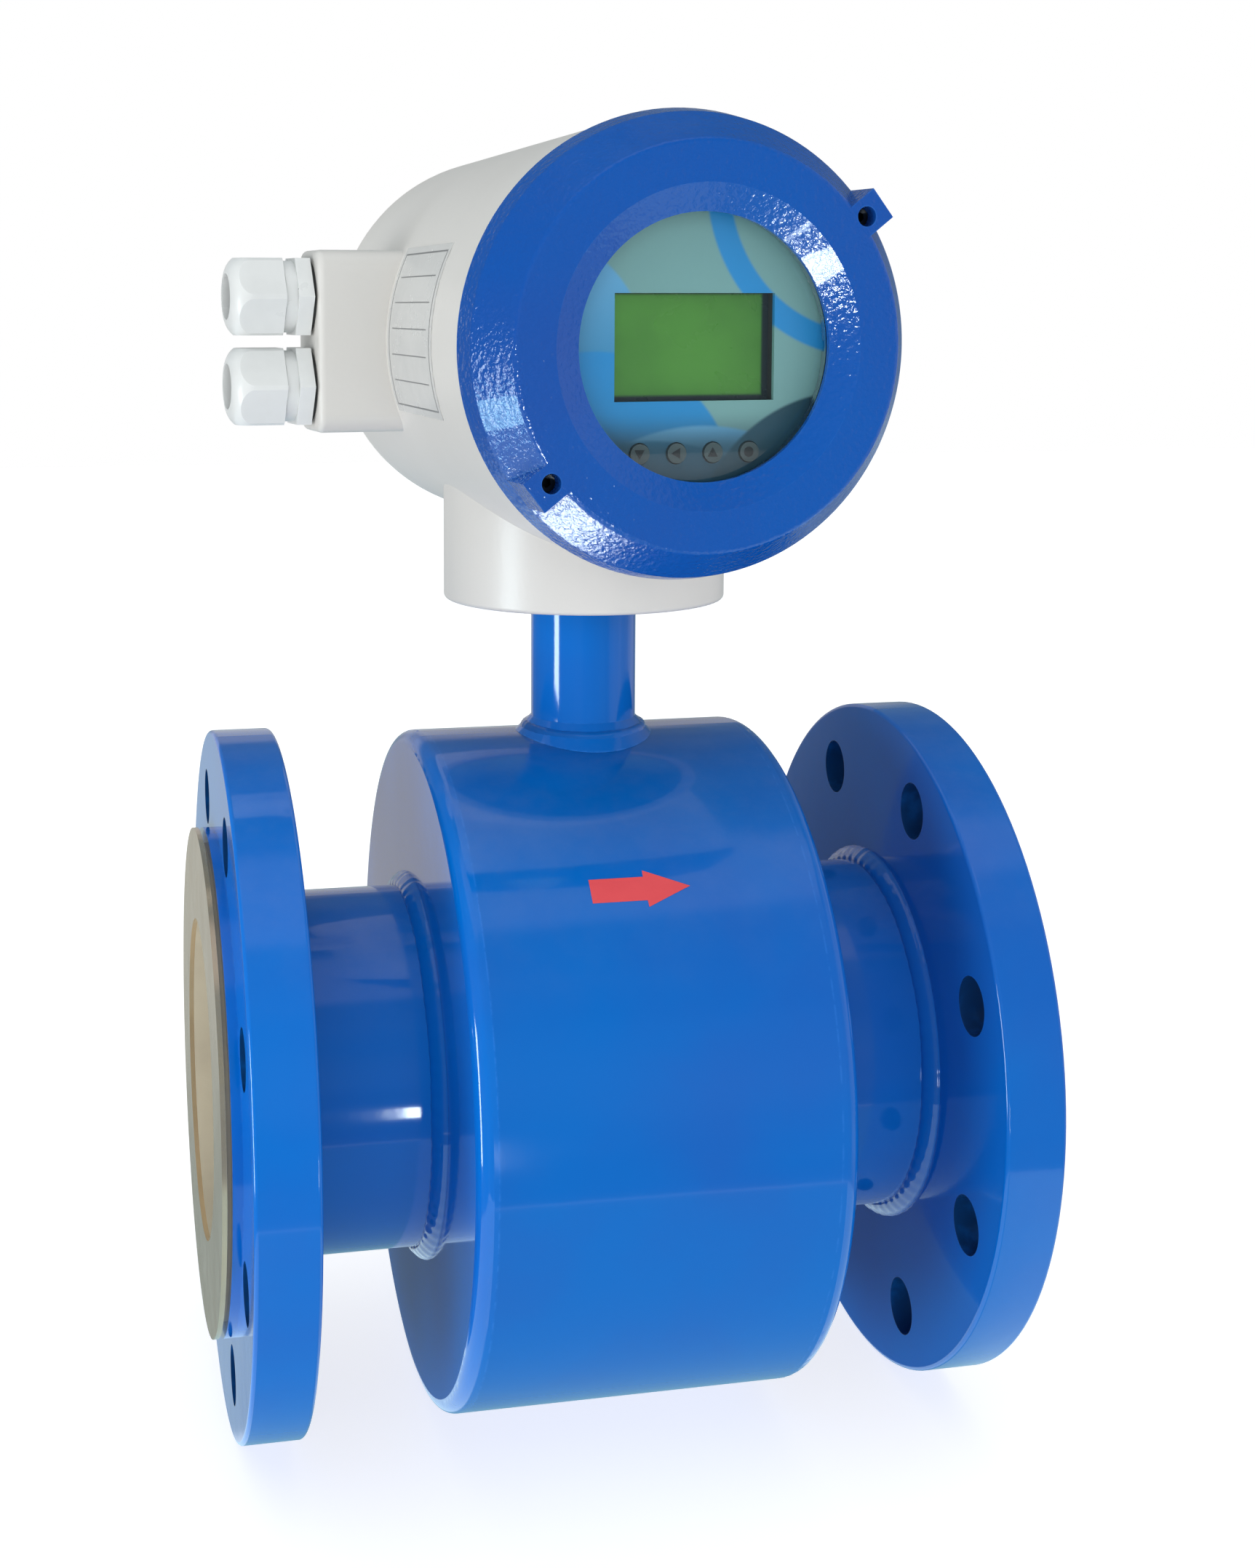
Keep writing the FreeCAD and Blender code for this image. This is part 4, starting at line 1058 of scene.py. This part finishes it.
@dataclass
class FlowTube:
    """Lined pipe with flanges, coil housing and neck: its welds and the flow arrow."""

    finishes: Finishes
    weld: WeldBead = WeldBead()
    weld_depth: float = 4.0 * MM
    weld_lift: float = 0.2 * MM
    neck_clear: float = 20.0 * MM
    neck_leg: float = 5.0 * MM
    neck_bead: WeldBead = WeldBead(leg=2.4 * MM, ripples=34, flatness=0.0, sides=16)
    neck_bead_proud: float = 0.45 * MM
    arrow_start: float = -17.0 * MM
    arrow_tip: float = 13.0 * MM
    arrow_angle: float = math.radians(44.3)
    shaft_width: float = 7.7 * MM
    head_width: float = 12.0 * MM
    head_length: float = 13.5 * MM
    arrow_steps: int = 12
    arrow_smooth: float = 50.0
    film: float = 0.12 * MM

    def build(self) -> None:
        """Adds every piece that the flow tube's frame lacks."""
        self.pipe_radius = reach_from("measuring_tube", FLOW)
        self.shell_radius = reach_from("coil_shell", FLOW)
        self.neck_radius = reach_from("neck_tube", NECK, self.shell_radius + self.neck_clear)
        for end in End:
            self.seam_weld(end, "end_plate")
            self.seam_weld(end, "flange")
        self.neck_weld()
        self.flow_arrow()

    def lay(self, bead: WeldBead, name: str, axis: Axis,
            seam: Callable[[float], Pair]) -> None:
        """Lays one bead and paints it with the tube."""
        bead.piece(name, axis, seam).build(self.finishes.get("blue_enamel"), "sensor",
                                           "blue_enamel", bead.smooth_angle)

    def seam_weld(self, end: End, plate: str) -> None:
        """Lays a weld where the pipe meets a plate, on the side that is open to view.

        Args:
            end: Which end of the tube.
            plate: The plate's name without its end.
        """
        name = f"{end.name.lower()}_{plate}"
        near, far = sorted(abs(distance) for distance in span_along(name, FLOW))
        seam = near + self.weld_depth if plate == "flange" else far - self.weld_depth
        place = (end.value * seam, self.pipe_radius + self.weld_lift)
        self.lay(self.weld, f"{name}_weld", FLOW, lambda angle: place)

    def neck_weld(self) -> None:
        """Lays a run on the slope of the weld at the neck's foot, which follows the shell."""
        sunk = (self.neck_bead.leg - self.neck_bead_proud) / math.sqrt(2.0)

        def slope(angle: float) -> Pair:
            """The middle of the slope, sunk so that only the run's back shows.

            Args:
                angle: Turn around the neck.

            Returns:
                Its height and its distance from the neck's axis.
            """
            edge = NECK.point(0.0, self.neck_radius, angle)
            seam = math.sqrt(self.shell_radius ** 2 - edge.y ** 2)
            half = (self.shell_radius + self.neck_leg - seam) / 2
            return seam + half - sunk, self.neck_radius + half - sunk

        self.lay(self.neck_bead, "neck_weld", NECK, slope)

    def flow_arrow(self) -> None:
        """Lays the red arrow film on the coil housing's front."""
        head_foot = self.arrow_tip - self.head_length
        shares = [i / self.arrow_steps for i in range(self.arrow_steps + 1)]
        widths = [(self.arrow_start + (head_foot - self.arrow_start) * share, self.shaft_width)
                  for share in shares]
        widths += [(head_foot + self.film + (self.head_length - self.film) * share,
                    max(self.head_width * (1.0 - share), self.film)) for share in shares]
        faces, backs = ([[self.on_shell(x, width * (share - 0.5), lift) for share in shares]
                         for x, width in widths] for lift in (self.film, -self.film))
        arrow = Piece("flow_arrow")
        arrow.add_grid([face + back[::-1] for face, back in zip(faces, backs)], wrap_columns=True)
        arrow.add_grid([backs[0], faces[0]])
        arrow.add_grid([faces[-1], backs[-1]])
        arrow.build(self.finishes.get("arrow_red"), "sensor", "blue_enamel", self.arrow_smooth)

    def on_shell(self, x: float, up: float, lift: float) -> Vector:
        """A point on the coil housing's front, measured from the arrow's middle line."""
        angle, radius = self.arrow_angle + up / self.shell_radius, self.shell_radius + lift
        return Vector((x, -math.cos(angle) * radius, math.sin(angle) * radius))


# ---- The converter head ----

@dataclass
class ConverterHead:
    """Housing, cover thread, side label and the glands' threads."""

    finishes: Finishes
    shoulder: float = 81.0 * MM
    drum_back: float = -94.5 * MM
    drum_front_radius: float = 65.5 * MM
    drum_rear_radius: float = 61.5 * MM
    label_front: float = 50.0 * MM
    label_back: float = -4.0 * MM
    label_low: float = math.radians(-19.5)
    label_high: float = math.radians(27.0)
    label_film: float = 0.14 * MM
    label_smooth: float = 50.0
    patch_step: float = math.radians(2.0)
    patch_sunk: float = 0.05 * MM
    frame_inset: float = 2.2 * MM
    line_width: float = 0.5 * MM
    line_lift: float = 0.04 * MM
    corner: float = 0.52 * MM
    label_rows: int = 6
    row_inset: float = 4.0 * MM
    row_weight: float = 0.7
    thread_smooth: float = 25.0
    cover_form: ThreadForm = ThreadForm(59.5 * MM, 6.4 * MM, 2.0 * MM, 0.24 * MM)
    cover_form_start: float = 4.6 * MM
    gland_form: ThreadForm = ThreadForm(9.3 * MM, 8.8 * MM, 1.5 * MM, 0.12 * MM)
    gland_form_back: float = 9.4 * MM

    def build(self) -> None:
        """Adds the label and the threads."""
        self.side_label()
        self.cover_thread()
        self.gland_threads()

    def on_drum(self, distance: float, turn: float, lift: float) -> Vector:
        """A point on the drum's left side.

        Args:
            distance: Along the head's axis, towards the display.
            turn: Angle above the left horizontal.
            lift: Height over the drum's face.

        Returns:
            The point in the object's frame.
        """
        share = (self.shoulder - distance) / (self.shoulder - self.drum_back)
        growth = self.drum_rear_radius - self.drum_front_radius
        radius = self.drum_front_radius + growth * share
        left = HEAD.along.cross(HEAD.up).normalized()
        outward = left * math.cos(turn) + HEAD.up * math.sin(turn)
        return HEAD.origin + HEAD.along * distance + outward * (radius + lift)

    def add_patch(self, patch: Piece, ends: Pair, turns: Pair, lift: float) -> None:
        """Adds one thin slab that follows the drum.

        Args:
            patch: The piece that it belongs to.
            ends: Its front and back along the head's axis.
            turns: Its lower and upper angle.
            lift: Height of its outer face over the drum.
        """
        (front, back), (low, high) = ends, turns
        across = max(2, int((high - low) / self.patch_step) + 1)
        steps = [low + (high - low) * i / across for i in range(across + 1)]
        outer = [[self.on_drum(d, turn, lift) for turn in steps] for d in (back, front)]
        inner = [[self.on_drum(d, turn, -self.patch_sunk) for turn in steps] for d in (front, back)]
        patch.add_grid(outer)
        patch.add_grid(inner)
        patch.add_grid([inner[1] + inner[0][::-1], outer[0] + outer[1][::-1]], wrap_columns=True)

    def side_label(self) -> None:
        """Lays the bare label film on the drum's left side, with its ruled frame."""
        label = Piece("side_label")
        self.add_patch(label, (self.label_front, self.label_back),
                       (self.label_low, self.label_high), self.label_film)
        label.build(self.finishes.get("label_film"), "head", "white_enamel", self.label_smooth)
        rules = Piece("side_label_rules")
        lift = self.label_film + self.line_lift
        turn_inset = self.frame_inset / self.drum_front_radius
        thin = self.line_width / self.drum_front_radius
        front, back = self.label_front - self.frame_inset, self.label_back + self.frame_inset
        low, high = self.label_low + turn_inset, self.label_high - turn_inset
        self.add_patch(rules, (front, front - self.line_width), (low, high), lift)
        self.add_patch(rules, (back + self.line_width, back), (low, high), lift)
        for edge in (low, high - thin):
            self.add_patch(rules, (front - self.corner, back + self.corner), (edge, edge + thin),
                           lift)
        for row in range(1, self.label_rows):
            turn = low + (high - low) * row / self.label_rows
            self.add_patch(rules, (front - self.row_inset, back + self.row_inset),
                           (turn, turn + thin * self.row_weight), lift)
        rules.build(self.finishes.get("label_ink"), "head", "white_enamel", self.label_smooth)

    def cover_thread(self) -> None:
        """Adds the ridge of the cover's thread on the housing's spigot."""
        start = self.shoulder + self.cover_form_start
        thread = self.cover_form.piece("housing_thread", HEAD, start, steps=120)
        thread.build(self.finishes.get("white_enamel"), "head", "white_enamel",
                     self.thread_smooth)

    def gland_threads(self) -> None:
        """Adds each gland's thread on the barrel that its dome nut turns on."""
        for name in ("upper", "lower"):
            axis = joint_axis(f"{name}_nut_turn")
            start = span_along(f"{name}_gland_body", axis)[1] - self.gland_form_back
            thread = self.gland_form.piece(f"{name}_gland_thread", axis, start, steps=72)
            thread.build(self.finishes.get("nylon_white"), "head", "nylon_white",
                         self.thread_smooth)


# ---- The display ----

class Symbol(Enum):
    """What a key shows."""

    DOWN = "down"
    LEFT = "left"
    UP = "up"
    ENTER = "enter"


@dataclass
class Display:
    """The marks on the four keys."""

    finishes: Finishes
    size: float = 1.55 * MM
    film: float = 0.06 * MM
    triangle: tuple[Pair, ...] = ((-1.0, -0.75), (1.0, -0.75), (0.0, 1.0))
    dot_radius: float = 0.95
    dot_steps: int = 24
    smooth_angle: float = 30.0
    order: tuple[Symbol, ...] = (Symbol.DOWN, Symbol.LEFT, Symbol.UP, Symbol.ENTER)

    def outline(self, symbol: Symbol) -> list[Pair]:
        """The symbol's outline, to the right and up, in units of its size.

        Args:
            symbol: Which mark.

        Returns:
            Its corners.
        """
        if symbol is Symbol.UP:
            return list(self.triangle)
        if symbol is Symbol.DOWN:
            return [(-x, -z) for x, z in self.triangle]
        if symbol is Symbol.LEFT:
            return [(-z, x) for x, z in self.triangle]
        turns = [math.tau * i / self.dot_steps for i in range(self.dot_steps)]
        return [(math.cos(turn) * self.dot_radius, math.sin(turn) * self.dot_radius)
                for turn in turns]

    def build(self) -> None:
        """Prints each key's symbol on its cap."""
        right = across_head().along
        for i, symbol in enumerate(self.order, start=1):
            low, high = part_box(f"key_{i}")
            middle = (low + high) / 2
            front = span_along(f"key_{i}", HEAD)[1]
            middle += HEAD.along * (front - (middle - HEAD.origin).dot(HEAD.along))
            outline = [middle + right * (x * self.size) + HEAD.up * (z * self.size)
                       - HEAD.along * self.film for x, z in self.outline(symbol)]
            mark = Piece(f"key_{i}_mark")
            mark.add_slab(outline, HEAD.along * (2 * self.film))
            mark.build(self.finishes.get("symbol_ink"), f"key_{i}", "key_grey",
                       self.smooth_angle)


# ---- Studio ----

def hang(light: bpy.types.Light, way: Vector) -> bpy.types.Object:
    """Adds a light that isn't seen through the window.

    Args:
        light: The light.
        way: The direction that it shines in.

    Returns:
        The lamp that holds it.
    """
    lamp = bpy.data.objects.new(light.name, light)
    lamp.rotation_euler = way.to_track_quat("-Z", "Y").to_euler()
    lamp.visible_transmission = False
    bpy.context.scene.collection.objects.link(lamp)
    return lamp


def gathered(name: str, nodes: Iterable[str]) -> bpy.types.Collection:
    """Gathers CAD nodes, for a light that falls on them alone or spares them.

    Args:
        name: Name of the collection.
        nodes: Names of the nodes.

    Returns:
        The collection.
    """
    group = bpy.data.collections.new(name)
    for node in nodes:
        group.objects.link(frame["nodes"][node])
    return group


@dataclass(frozen=True)
class SoftBox:
    """A rectangular light that only the gloss shows, as a glint."""

    name: str
    place: Place
    aim: Place
    width: float
    height: float
    power: float
    only: tuple[str, ...] = ()
    tint: Colour = (0.80, 0.94, 1.0)
    spared: tuple[str, ...] = ()

    def build(self) -> None:
        """Adds the light, turned to its aim, on some nodes only or past some."""
        light = bpy.data.lights.new(self.name, "AREA")
        light.shape = "RECTANGLE"
        light.size, light.size_y = self.width, self.height
        light.energy, light.color = self.power, self.tint
        lamp = hang(light, Vector(self.aim) - Vector(self.place))
        lamp.location = self.place
        lamp.visible_camera = lamp.visible_diffuse = False
        linking = lamp.light_linking
        if self.only:
            linking.receiver_collection = gathered(f"{self.name}_lit", self.only)
            linking.blocker_collection = linking.receiver_collection
        if self.spared:
            linking.receiver_collection = gathered(f"{self.name}_spared", self.spared)
            for row in linking.receiver_collection.collection_objects:
                row.light_linking.link_state = "EXCLUDE"


@dataclass(frozen=True)
class Daylight:
    """Even light from one side of the room, with wide soft shadows."""

    name: str
    towards: Place
    strength: float
    spread: float
    only: tuple[str, ...] = ()

    def build(self) -> None:
        """Adds the light, kept out of the paint's gloss and, if asked, on some nodes only."""
        light = bpy.data.lights.new(self.name, "SUN")
        light.energy, light.angle = self.strength, math.radians(self.spread)
        lamp = hang(light, Vector(self.towards))
        lamp.visible_glossy = False
        if self.only:
            lamp.light_linking.receiver_collection = gathered(f"{self.name}_lit", self.only)


@dataclass(frozen=True)
class Panel:
    """A part of the room: its tone, and from where to where it comes in on each axis."""

    tone: Colour
    x: Optional[Pair] = None
    y: Optional[Pair] = None
    rise: Optional[Pair] = None


@dataclass(frozen=True)
class Room:
    """The dim room that the gloss paint mirrors, by the direction that a ray leaves in."""

    near_wall: Colour = (0.12, 0.17, 0.19)
    walls: tuple[Panel, ...] = (
        Panel((0.42, 0.43, 0.45), x=(0.55, 0.85)),
        Panel((0.50, 0.50, 0.49), y=(0.91, 0.95)),
        Panel((0.36, 0.44, 0.44), y=(0.80, 0.86), x=(-0.11, -0.07), rise=(-0.04, -0.12)),
    )
    clutter_scale: float = 2.6
    clutter_cloud: Pair = (0.35, 0.65)
    clutter_tones: Pair = (0.75, 1.25)
    ceiling: Panel = Panel((0.48, 0.49, 0.52), rise=(0.83, 0.88), y=(0.10, -0.05))
    bench_edge: Panel = Panel((0.85, 0.95, 1.0), rise=(-0.474, -0.480))
    bench: Colour = (0.22, 0.42, 0.48)
    bench_rise: Pair = (-0.485, -0.491)
    bench_sides: Colour = (0.75, 1.0, 1.1)
    bench_middle: float = 0.22
    bench_sides_from: Pair = (0.13, 0.20)

    def build(self) -> None:
        """Sets the room, with plain white where the camera looks past the object."""
        world = bpy.data.worlds.new("studio")
        world.use_nodes = True
        bpy.context.scene.world = world
        world.node_tree.nodes.clear()
        graph = Graph(world.node_tree)
        way = graph.node("ShaderNodeTexCoord").outputs["Generated"]
        parts = graph.split(way)
        tone: object = rgba(self.near_wall)
        for panel in self.walls:
            tone = self.hung(graph, parts, tone, panel)
        cloud = graph.noise(way, self.clutter_scale, detail=2.0)
        clutter = graph.remap(cloud, *self.clutter_cloud, *self.clutter_tones)
        tone = graph.mix(1.0, tone, clutter, "MULTIPLY")
        for panel in (self.ceiling, self.bench_edge):
            tone = self.hung(graph, parts, tone, panel)
        off_middle = graph.maths("ABSOLUTE", graph.minus(parts[0], self.bench_middle))
        bench = graph.mix(graph.remap(off_middle, *self.bench_sides_from), rgba(self.bench),
                          rgba(self.bench_sides))
        tone = graph.mix(graph.remap(parts[2], *self.bench_rise), tone, bench)
        seen = graph.node("ShaderNodeLightPath").outputs["Is Camera Ray"]
        background = graph.fed(graph.node("ShaderNodeBackground"), Strength=1.0,
                               Color=graph.mix(seen, tone, rgba([1.0] * 3)))
        graph.fed(graph.node("ShaderNodeOutputWorld"), Surface=background.outputs[0])

    @staticmethod
    def hung(graph: Graph, parts: Sequence[Socket], tone: object, panel: Panel) -> Socket:
        """Lays a panel over the room's tone so far.

        Args:
            graph: The world's graph.
            parts: The three parts of the ray's direction.
            tone: The tone so far.
            panel: The panel.

        Returns:
            The tone with the panel.
        """
        bands = zip(parts, (panel.x, panel.y, panel.rise))
        mask = graph.product(*(graph.remap(part, *band) for part, band in bands if band))
        return graph.mix(mask, tone, rgba(panel.tone))


@dataclass
class Studio:
    """Pale floor, soft lights and the room around them."""

    floor_height: float = -0.110
    half_width: float = 4.0
    floor_tone: Colour = (0.50, 0.50, 0.50)
    floor_second: float = 0.99
    floor_glow: float = 1.5
    floor_cast: float = 0.55
    floor_gloss: float = 0.1
    room: Room = Room()
    daylight: tuple[Daylight, ...] = (
        Daylight("front", (0.15, 0.96, 0.02), 1.42, 60.0),
        Daylight("left", (0.94, 0.30, 0.16), 1.35, 36.0),
        Daylight("right", (-0.75, 0.60, 0.0), 0.85, 60.0),
        Daylight("overhead", (0.10, 0.10, -1.0), 1.45, 90.0),
        Daylight("back", (0.10, -0.95, -0.10), 0.70, 90.0),
        Daylight("blue_fill", (0.90, 0.42, 0.06), 1.9, 60.0,
                 ("inlet_flange", "measuring_tube", "neck_tube", "inlet_end_plate")),
    )
    lights: tuple[SoftBox, ...] = (
        SoftBox("left_strip", (-0.78, -0.22, -0.02), (0.0, -0.05, 0.12), 0.16, 0.40, 3.0,
                spared=("inlet_ground_ring", "tube_liner")),
        SoftBox("low_front", (0.01, -0.52, -0.08), (0.0, 0.0, 0.02), 0.012, 0.07, 0.12),
        SoftBox("cover_low_left", (-0.204, 0.056, -0.256), (-0.03, -0.09, 0.19), 0.20, 0.18,
                15.0, ("front_cover",)),
        SoftBox("cover_left", (-0.49, -0.05, 0.02), (-0.047, -0.10, 0.218), 0.04, 0.10, 0.30,
                ("front_cover",), (0.45, 0.85, 1.0)),
        SoftBox("cover_low_front", (-0.08, -0.52, 0.01), (0.04, -0.10, 0.26), 0.07, 0.08, 1.8,
                ("front_cover",)),
    )

    def build(self) -> None:
        """Adds the floor, the lights and the room."""
        self.floor()
        for light in self.daylight + self.lights:
            light.build()
        self.room.build()
        bpy.context.scene.view_settings.view_transform = "Standard"

    def floor(self) -> None:
        """Makes the pale sheet that the object stands on; it glows less where no camera looks."""
        half = self.half_width
        corners = ((-half, -half), (half, -half), (half, half), (-half, half))
        mesh = bpy.data.meshes.new("floor_sheet")
        mesh.from_pydata([(x, y, self.floor_height) for x, y in corners], [], [(0, 1, 2, 3)])
        sheet = bpy.data.objects.new("floor_sheet", mesh)
        bpy.context.scene.collection.objects.link(sheet)
        surface = Surface("studio_paper")
        tone = surface.drift(self.floor_tone, [c * self.floor_second for c in self.floor_tone],
                             scale=3.0, amount=0.5)
        seen = surface.graph.node("ShaderNodeLightPath").outputs["Is Camera Ray"]
        cast = rgba(c * self.floor_cast for c in self.floor_tone)
        surface.set(Base_Color=tone,
                    Roughness=surface.handled(roughness=0.8, spread=0.1, scale=4.0),
                    Emission_Color=surface.graph.mix(seen, cast, tone),
                    Emission_Strength=self.floor_glow, Specular_IOR_Level=self.floor_gloss)
        mesh.materials.append(surface.material)
        sheet.visible_glossy = False
        sheet.visible_shadow = False


@dataclass(frozen=True)
class ViewPoint:
    """The camera: where it stands, where it looks and its lens."""

    place: Place = (-0.1718, -0.6773, 0.2469)
    yaw: float = math.radians(12.27)
    pitch: float = math.radians(-6.57)
    lens: float = 50.14
    sensor: float = 36.0
    shift_across: float = 0.0754
    shift_up: float = -0.1502
    nearest: float = 0.02

    def build(self) -> None:
        """Adds the camera and makes it the scene's."""
        camera = bpy.data.cameras.new("camera")
        camera.lens, camera.sensor_width = self.lens, self.sensor
        camera.shift_x, camera.shift_y = self.shift_across, self.shift_up
        camera.clip_start = self.nearest
        stand = bpy.data.objects.new("camera", camera)
        stand.location = self.place
        stand.rotation_euler = (math.pi / 2 + self.pitch, 0.0, -self.yaw)
        bpy.context.scene.collection.objects.link(stand)
        bpy.context.scene.camera = stand


# ---- Making ----


def main() -> None:
    """Builds the scene: camera, studio, finishes, then each sub-assembly."""
    logging.basicConfig(level=logging.INFO, format="%(name)s: %(message)s")
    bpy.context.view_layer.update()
    ViewPoint().build()
    LOG.info("camera in place")
    Studio().build()
    LOG.info("studio in place")
    finishes = Finishes()
    finishes.dress_nodes()
    LOG.info("%d nodes dressed", len(frame["nodes"]))
    for assembly in (FlowTube(finishes), ConverterHead(finishes), Display(finishes)):
        assembly.build()
        LOG.info("%s built", type(assembly).__name__)


if __name__ == "__main__":
    main()
